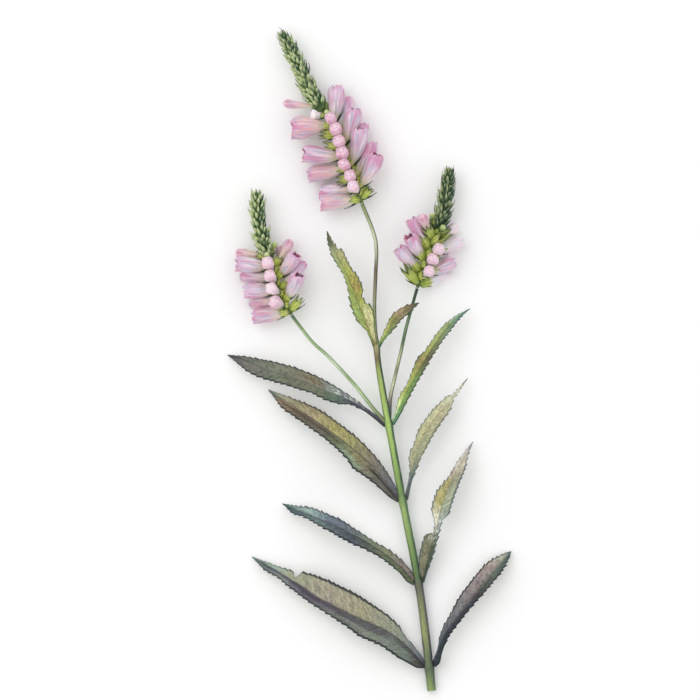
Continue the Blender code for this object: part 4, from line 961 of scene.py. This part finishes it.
def budFinish():
    finish = Finish("budPink", 0.48, 0.35, Sheen_Weight=0.2, Subsurface_Weight=0.15, Subsurface_Scale=0.002)
    ring = finish.ring(0.8)
    broad = finish.noise(ring, 2.0)
    narrow = finish.noise(ring, 3.2, 3.0, 0.6)
    finish.colour = finish.ramp(finish.along + (narrow - 0.5) * 0.09, (
        (0, 196, 200, 120), (20, 222, 206, 172), (45, 230, 198, 204), (70, 215, 158, 182),
        (82, 241, 205, 219), (89.5, 217, 164, 188), (93, 250, 227, 235), (100, 246, 219, 228),
    ))
    finish.over(broad.mask(0.50, 0.64) * 0.6, (218, 158, 188))
    finish.over(narrow.mask(0.52, 0.60) * 0.6, (204, 192, 208))
    finish.over(narrow.mask(0.44, 0.38) * 0.5, (176, 110, 132))
    # painted shade: a dark line along the seams where the hood folds over the lip
    seam = abs(abs(finish.around - 0.5) - 0.3)
    finish.over(seam.mask(0.035, 0.0) * finish.along.mask(0.4, 0.7) * 0.8, (172, 98, 132))
    finish.over(finish.tone.mask(0.5, 1.0) * 0.95, (248, 240, 244))
    return finish.done(finish.noise(ring, 16.0), 0.00012, 0.3)


def youngBudFinish():
    finish = Finish("budGreen", 0.5, 0.35)
    blotch = finish.noise(finish.objectPlace, 500.0)
    finish.colour = finish.ramp(finish.along, (
        (0, 96, 120, 56), (45, 150, 170, 96), (80, 196, 206, 150), (100, 214, 212, 176),
    ))
    finish.over(blotch.mask(0.45, 0.7), (168, 186, 112))
    return finish.done(blotch, 0.0001, 0.3)


def calyxFinish(name, dark):
    finish = Finish(name, 0.52, 0.35)
    finish.colour = finish.ramp(finish.along, (
        (0, 136, 156, 60), (30, 184, 198, 84), (60, 200, 208, 104), (76, 186, 194, 104),
        (90, 136, 152, 84), (100, 66, 88, 58),
    ))
    ribs = finish.wave("COSINE", 10)
    finish.over(ribs.mask(0.3, 0.95) * 0.5, (70, 100, 44))
    finish.over(finish.noise(finish.objectPlace, 420.0, 3.0).mask(0.48, 0.66) * 0.5, (218, 218, 150))
    finish.over(finish.tone.mask(0.70, 1.0) * 0.6, (212, 176, 158))
    finish.over(dark, (60, 96, 56))
    return finish.done(finish.noise(finish.objectPlace, 2600.0, 1.0) + ribs * 0.3, 0.0001, 0.4)


def bractFinish(name, dark, pale):
    finish = Finish(name, 0.55, 0.3)
    finish.colour = finish.ramp(finish.along, (
        (0, 74, 100, 56), (35, 52, 80, 56), (70, 34, 58, 54), (100, 20, 34, 42),
    ))
    blotch = finish.noise(finish.objectPlace, 380.0, 3.0)
    finish.over(blotch.mask(0.46, 0.64) * 0.5, (104, 138, 84))
    # on the tip's bracts this pale wash follows the tone, and so is painted light, paler on the left-hand
    # side
    finish.over(finish.tone.mask(0.42, 0.72) * finish.along.mask(0.25, 0.6) * pale, (206, 218, 164))
    finish.over(abs(finish.around - 0.5).mask(0.34, 0.48) * 0.55, (24, 46, 52))
    finish.over(dark, (20, 34, 34))
    return finish.done(blotch, 0.0001, 0.3)


def tipBudFinish(name, dark):
    finish = Finish(name, 0.5, 0.35)
    # dark at the foot among the bracts, with a painted highlight in the pale band near the point
    finish.colour = finish.ramp(finish.along, (
        (0, 14, 32, 18), (30, 44, 78, 38), (50, 118, 156, 84), (68, 200, 216, 156),
        (92, 226, 232, 192), (100, 150, 174, 120),
    ))
    finish.over(finish.wave("COSINE", 5).mask(0.1, 0.9) * 0.3, (48, 84, 48))
    # painted light and shade from the tone: pale on the left-hand side, dark blue-green on the right
    finish.over(finish.tone.mask(0.6, 1.0) * 0.5, (204, 212, 140))
    finish.over(finish.tone.mask(0.35, 0.0) * 0.6, (30, 84, 72))
    finish.over(dark, (24, 46, 36))
    return finish.done(finish.noise(finish.objectPlace, 2200.0, 1.0), 0.0001, 0.35)


def plainFinish(name, stops):
    finish = Finish(name, 0.5, 0.3)
    blotch = finish.noise(finish.objectPlace, 300.0, 3.0)
    finish.colour = finish.ramp(blotch, stops)
    return finish.done(blotch, 0.0001, 0.3)


# The spikes. Florets stand in four ranks, in opposite pairs that turn a quarter from each tier to the next.
# "pitch" is the way from tier to tier, "first" the lowest tier's place, "turn" the front rank's angle from
# the right-hand side at the first, middle and last tier, and "dark" and "light" the tones of the green
# parts and of the tip. A rank's "states" go from the lowest up: o open, p a loose pink bud, f a full bud
# held fast, b a young bud and c an empty calyx. "lean" is the angle between floret and stalk at the first
# and last tier, "bend" how far the floret then curves up, "sway" how far every other floret swings to
# either side, "shift" how far the whole rank does, and "gape" how wide the lips open. "girth", "slim" and
# "calyx" are the widths of the open florets, the buds and the calyces, "longer" the calyces' length and
# "broad" single tiers' girth. "pale" is the span of tones, from deep pink at 0 to nearly white at 1, "warm"
# the calyces' tint, and "white" the tier whose young bud is a pale one.

spikePieces = {
    "top": {
        "rachis": ((-0.0055, 0.1033, 0.0134), (-0.0099, 0.1187, 0.0136), (-0.0149, 0.1286, 0.0136),
                   (-0.0183, 0.1394, 0.0135), (-0.0232, 0.1502, 0.0132), (-0.0315, 0.1638, 0.0126),
                   (-0.0415, 0.1808, 0.0117), (-0.0514, 0.2024, 0.0106), (-0.056, 0.2108, 0.01)),
        "pitch": 0.0074, "first": 0.0028, "turn": (104, 92, 66), "tipTiers": 23, "dark": 0.1, "light": 0.35,
        "ranks": {
            "right": {"states": "cooooooob", "lean": (64, 50), "bend": 32, "length": 0.0268, "girth": 1.25,
                      "sway": 16, "gape": 0.35, "pale": (0.1, 0.55), "calyx": 0.85, "warm": 0.9},
            "front": {"states": "pppppppb", "lean": (72, 60), "bend": 6, "length": 0.02, "sway": 0,
                      "pale": (0.35, 0.75), "slim": 1.12},
            "left": {"states": "oocooccobp", "lean": (84, 58), "bend": 6, "length": 0.0275, "girth": 1.2,
                     "sway": 10, "gape": 0.7, "pale": (0, 0.5), "white": 9, "slim": 0.8,
                     "broad": {8: 1.35, 5: 1.1}},
            "back": {"states": "fffffffb", "lean": (62, 50), "bend": 36, "length": 0.024, "sway": 8,
                     "pale": (0.1, 0.5), "shift": 42},
        },
    },
    "left": {
        "rachis": ((-0.0514, 0.0306, 0.0134), (-0.0567, 0.0418, 0.0136), (-0.0599, 0.0499, 0.0136),
                   (-0.063, 0.0611, 0.0134), (-0.068, 0.0735, 0.0128), (-0.0723, 0.0884, 0.0118),
                   (-0.0742, 0.107, 0.0106)),
        "pitch": 0.0078, "first": 0.0026, "turn": (115, 104, 90), "tipTiers": 15, "dark": 0.05,
        "light": 0.45,
        "ranks": {
            "right": {"states": "cooopb", "lean": (70, 64), "bend": 20, "length": 0.0235, "girth": 1.12,
                      "sway": 15, "gape": 0.4, "pale": (0.1, 0.6)},
            "front": {"states": "ppppb", "lean": (70, 60), "bend": 6, "length": 0.0195, "sway": 0,
                      "pale": (0.4, 0.8), "slim": 1.1},
            "left": {"states": "ooooop", "lean": (74, 66), "bend": 4, "length": 0.0245, "girth": 1.18,
                     "sway": 12, "gape": 0.6, "pale": (0.05, 0.55)},
            "back": {"states": "ffffb", "lean": (62, 52), "bend": 36, "length": 0.0205, "sway": 34,
                     "pale": (0.2, 0.6)},
        },
    },
    "right": {
        "rachis": ((0.0305, 0.0483, 0.0134), (0.0333, 0.0582, 0.0136), (0.036, 0.0675, 0.0136),
                   (0.0393, 0.0741, 0.0135), (0.0419, 0.0827, 0.0132), (0.0447, 0.0894, 0.0128),
                   (0.0473, 0.098, 0.012), (0.0493, 0.1113, 0.011), (0.0511, 0.1218, 0.0104)),
        "pitch": 0.0078, "first": 0.0026, "turn": (68, 66, 63), "tipTiers": 15, "dark": 0.5, "light": 0.15,
        "ranks": {
            "right": {"states": "oooop", "lean": (64, 58), "bend": 18, "length": 0.0225, "girth": 1.05,
                      "sway": 14, "gape": 0.5, "pale": (0.5, 1), "calyx": 1.3, "longer": 1.3},
            "front": {"states": "pppcb", "lean": (68, 60), "bend": 6, "length": 0.0185, "sway": 0,
                      "pale": (0.55, 0.9), "calyx": 1.2, "longer": 1.15, "slim": 1.08},
            "left": {"states": "cooopb", "lean": (66, 58), "bend": 12, "length": 0.0235, "girth": 1.05,
                     "sway": 15, "gape": 0.6, "pale": (0.1, 0.6), "calyx": 1.2, "longer": 1.25},
            "back": {"states": "ffffb", "lean": (62, 52), "bend": 36, "length": 0.0206, "sway": 34,
                     "pale": (0.4, 0.8)},
        },
    },
}
spikeMake = {
    "rankTurns": {"right": -90, "front": 0, "left": 90, "back": 180},
    "columns": 20, "step": 0.0012, "radius": (0.0012, 0.0010), "core": (0.0032, 0.0022),
    "jitter": 2.0,  # degrees by which a floret's turn and lean vary
    "shrink": 0.62,  # each young bud's size beside the one below it
    "youngBud": 0.0165,  # the length that young buds shrink from
    "pinkShare": 0.9,  # a loose pink bud's length as a share of its rank's open florets
    "emptyShare": 1.45,  # an empty calyx's length beside a full one
    "tipOverlap": 1.35,  # how many of the upper tiers stand among the tip's lowest buds
    "tipBuds": 6, "tipReach": (0.0102, 0.0088), "tipRadius": (0.0012, 0.0010), "tipLean": (50, 46),
    "tipFoot": 0.0024,
    "tipBract": (0.0006, 3, 0.0020),  # its way below the floret, its drop in degrees, and its start
    "tipProfile": ((0.0, 0.45), (0.25, 0.80), (0.50, 1.0), (0.75, 0.80), (0.92, 0.36), (1.0, 0.05)),
}


def frontTurn(spike, share):
    low, middle, high = spike["turn"]
    return blendPair((low, middle), share * 2) if share < 0.5 else blendPair((middle, high), share * 2 - 1)


def rachisShape(route, flowering):
    look = spikeMake
    rows = round(route.length / look["step"])

    def place(column, row):
        distance = route.length * row / rows
        _, right, out = route.frame(distance)
        turn = 2 * pi * column / look["columns"] - pi / 2
        radius = blendPair(look["radius"], distance / flowering)
        if distance > flowering:
            radius = blendPair(look["core"], (distance - flowering) / (route.length - flowering))
            radius *= sqrt(max(min((route.length - distance) / 0.002, 1.0), 0.0))
        radius *= 1 + 0.08 * cos(4 * (turn - pi / 4)) + 0.06 * ripple(distance * 300, turn, 7.0)
        return route.point(distance) + (right * cos(turn) + out * sin(turn)) * radius

    bm = shapeGrid(look["columns"], rows, place, rolled=True)
    closeHoles(bm)
    return bm


def tipShapes(route, start, spike, draw):
    # whorls of green buds round the end of the stalk, each in the crook of a pointed bract
    look = spikeMake
    buds, bracts = [], []
    tiers = spike["tipTiers"]
    pitch = (route.length - start) / (tiers - 0.4)
    first = radians(spike["turn"][-1] + 45)
    root, drop, begin = look["tipBract"]
    for tier in range(tiers):
        share = tier / (tiers - 1)
        crown = max(share - 0.86, 0.0) / 0.14  # the last few tiers close up
        for bud in range(look["tipBuds"]):
            turn = first + 2 * pi * (bud + 0.5 * (tier % 2)) / look["tipBuds"]
            turn += radians(draw.uniform(-9, 9))
            lean = blendPair(look["tipLean"], share) * (1 - 0.40 * crown) + draw.uniform(-9, 9)
            length = blendPair(look["tipReach"], share) * draw.uniform(0.86, 1.06) * (1 - 0.10 * crown)
            radius = blendPair(look["tipRadius"], share) * draw.uniform(0.90, 1.10) * (1 - 0.25 * crown)
            at = start + pitch * (tier + 0.1)
            floret = Floret(route, at, turn, radians(lean), radians(18), length * 0.88)
            # painted light: the tone, which pales a bud and its bract, is raised on the left-hand side and
            # lowered on the right
            tone = 0.45 + spike["light"] * 0.5 - 0.30 * cos(turn) + draw.uniform(-0.45, 0.45)
            tone = min(max(tone, 0.0), 1.0)
            buds.append(tipBudShape(floret, radius, tone))
            at = start + pitch * (tier - 0.15)
            leaflet = Floret(route, at, turn, radians(lean + 8), radians(34), length)
            reach = length * draw.uniform(0.95, 1.28)
            bracts.append(bractShape(leaflet, reach, radius * 1.6, root, drop, draw, tone, begin))
    return buds, bracts


def tipBudShape(floret, radius, tone):
    # a young calyx still shut, drawn to a point
    start = spikeMake["tipFoot"]
    columns, rows = 10, 6

    def place(column, row):
        share = row / rows
        angle = 2 * pi * column / columns
        wide = radius * smoothTable(spikeMake["tipProfile"], share) * (1 + 0.12 * cos(5 * angle) * share)
        along = start + (floret.length - start) * share
        return floret.point(sin(angle) * wide, cos(angle) * wide, along)

    bm = shapeGrid(columns, rows, place, rolled=True, tone=tone)
    closeHoles(bm)
    return bm


def makeSpike(name, spike, finishes):
    look = spikeMake
    route = Route(spike["rachis"])
    draw = random.Random("spike " + name)
    tiers = max(len(rank["states"]) for rank in spike["ranks"].values())
    flowering = spike["first"] + spike["pitch"] * (tiers - look["tipOverlap"])
    calyces, bracts, threads, anthers, backBuds, youngBuds = [], [], [], [], [], []
    for rankName, rank in spike["ranks"].items():
        offset = spike["pitch"] / 2 if rankName in ("front", "back") else 0.0
        size = 1.0
        for tier, state in enumerate(rank["states"]):
            share = tier / (tiers - 1)
            sway = rank["sway"] * (1 if tier % 2 else -1) + rank.get("shift", 0)
            sway += draw.uniform(-1, 1) * look["jitter"]
            turn = radians(frontTurn(spike, share) + look["rankTurns"][rankName] + sway)
            lean = radians(blendPair(rank["lean"], share) + draw.uniform(-1, 1) * look["jitter"])
            length = rank["length"] * (look["pinkShare"] if state == "p" else 1.0) * draw.uniform(0.96, 1.04)
            if state == "b":
                size *= look["shrink"]
                length = look["youngBud"] * size
            distance = spike["first"] + offset + spike["pitch"] * tier
            floret = Floret(route, distance, turn, lean, radians(rank["bend"]), length)
            tone = draw.uniform(*rank["pale"])
            reach = bractMake["length"] * max(size, 0.6) * draw.uniform(0.85, 1.1)
            bracts.append(bractShape(floret, reach, bractMake["width"], bractMake["root"], bractMake["drop"],
                                     draw, 0.0))
            cup = max(size, 0.45) * rank.get("calyx", 1.0)
            warm = rank["warm"] if "warm" in rank and state == "o" else draw.uniform(0.0, 0.7)
            longer = rank.get("longer", 1.0) * (look["emptyShare"] if state == "c" else 1.0)
            calyces.append(calyxShape(floret, cup, draw, warm, longer))
            foot = budMake["youngFoot"] * size
            node = f"bloom_{name}_{rankName}_{tier + 1}"
            if state == "o":
                girth = rank["girth"] * rank.get("broad", {}).get(tier + 1, 1.0)
                shape = corollaShape(floret, girth, rank["gape"], draw, tone)
                makePiece(node + "_corolla", shape, [finishes["petal"]], "petal", [node], corollaMake["wall"])
                thread, anther = stamenShapes(floret, rank["girth"], draw)
                threads += thread
                anthers += anther
            if state == "p":
                radius = budMake["radius"] * rank.get("slim", 1.0) * draw.uniform(0.94, 1.04)
                shape = budShape(floret, radius, draw, tone)
                makePiece(node + "_bud", shape, [finishes["bud"]], "petal", [node])
            if state == "f":
                backBuds.append(budShape(floret, budMake["radius"] * 0.95, draw, tone))
            if tier + 1 == rank.get("white"):
                backBuds.append(budShape(floret, budMake["radius"] * 0.85, draw, 1.0, foot))
            elif state == "b":
                youngBuds.append(budShape(floret, budMake["radius"] * size * 0.80, draw, tone, foot))
    tipBuds, tipBracts = tipShapes(route, flowering, spike, draw)
    dark = spike["dark"]
    thin = bractMake["wall"]
    for part, shapes, finish, slot, wall in (
        ("Rachis", [rachisShape(route, flowering)], finishes["rachis"], "calyx", 0.0),
        ("Calyces", calyces, calyxFinish(name + "CalyxGreen", dark * 0.35), "calyx", calyxMake["wall"]),
        ("Bracts", bracts, bractFinish(name + "BractGreen", dark * 0.6, 0.0), "calyx", thin),
        ("BackBuds", backBuds, finishes["bud"], "petal", 0.0),
        ("YoungBuds", youngBuds, finishes["youngBud"], "calyx", 0.0),
        ("TipBuds", tipBuds, tipBudFinish(name + "TipGreen", dark), "calyx", 0.0),
        ("TipBracts", tipBracts, bractFinish(name + "TipBractGreen", dark * 0.6, 0.85), "calyx", thin),
        ("Stamens", threads, finishes["thread"], "petal", 0.0),
        ("Anthers", anthers, finishes["anther"], "petal", 0.0),
    ):
        makePiece(name + part, gather(shapes), [finish], slot, ["spike_" + name], wall)
    print("spike", name, "made")


def makeSpikes():
    finishes = {
        "petal": petalFinish(),
        "bud": budFinish(),
        "youngBud": youngBudFinish(),
        "rachis": plainFinish("rachisGreen", ((30, 40, 60, 44), (55, 74, 96, 50), (75, 120, 140, 70))),
        "thread": plainFinish("threadPale", ((30, 226, 206, 222), (70, 240, 226, 236))),
        "anther": plainFinish("antherPurple", ((30, 84, 50, 84), (70, 120, 84, 110))),
    }
    for name, spike in spikePieces.items():
        makeSpike(name, spike, finishes)


# The floor, the light and the camera

stagePiece = {
    "floorSize": 8.0, "floorColour": (0.97, 0.97, 0.97),
    "view": (-0.0133, 0.0078, 2.543),  # straight down on the middle of the photograph
    "lens": 200.0,
    "sky": 0.91,
    "keyPlace": (-0.75, 0.65, 1.55), "keySize": 1.5, "keyPower": 8.0,
}


def makeStage():
    bm = bmesh.new()
    bmesh.ops.create_grid(bm, x_segments=1, y_segments=1, size=stagePiece["floorSize"] / 2)
    mesh = bpy.data.meshes.new("floor")
    bm.to_mesh(mesh)
    bm.free()
    floor = bpy.data.objects.new("floor", mesh)
    bpy.context.scene.collection.objects.link(floor)
    paper = Finish("paperWhite", 0.9, 0.1)
    paper.shader.inputs["Base Color"].default_value = (*stagePiece["floorColour"], 1.0)
    mesh.materials.append(paper.material)

    world = bpy.data.worlds.new("studio")
    world.use_nodes = True
    background = world.node_tree.nodes["Background"]
    background.inputs["Color"].default_value = (1.0, 1.0, 1.0, 1.0)
    background.inputs["Strength"].default_value = stagePiece["sky"]
    bpy.context.scene.world = world

    lamp = bpy.data.lights.new("key", "AREA")
    lamp.size = stagePiece["keySize"]
    lamp.energy = stagePiece["keyPower"]
    key = bpy.data.objects.new("key", lamp)
    key.location = stagePiece["keyPlace"]
    key.rotation_euler = (-key.location).to_track_quat("-Z", "Y").to_euler()
    bpy.context.scene.collection.objects.link(key)

    lens = bpy.data.cameras.new("camera")
    lens.lens = stagePiece["lens"]
    camera = bpy.data.objects.new("camera", lens)
    camera.location = stagePiece["view"]
    bpy.context.scene.collection.objects.link(camera)
    bpy.context.scene.camera = camera
    bpy.context.scene.view_settings.view_transform = "Standard"
    print("stage made")


makeStem()
makeLeaves()
makeSpikes()
makeStage()
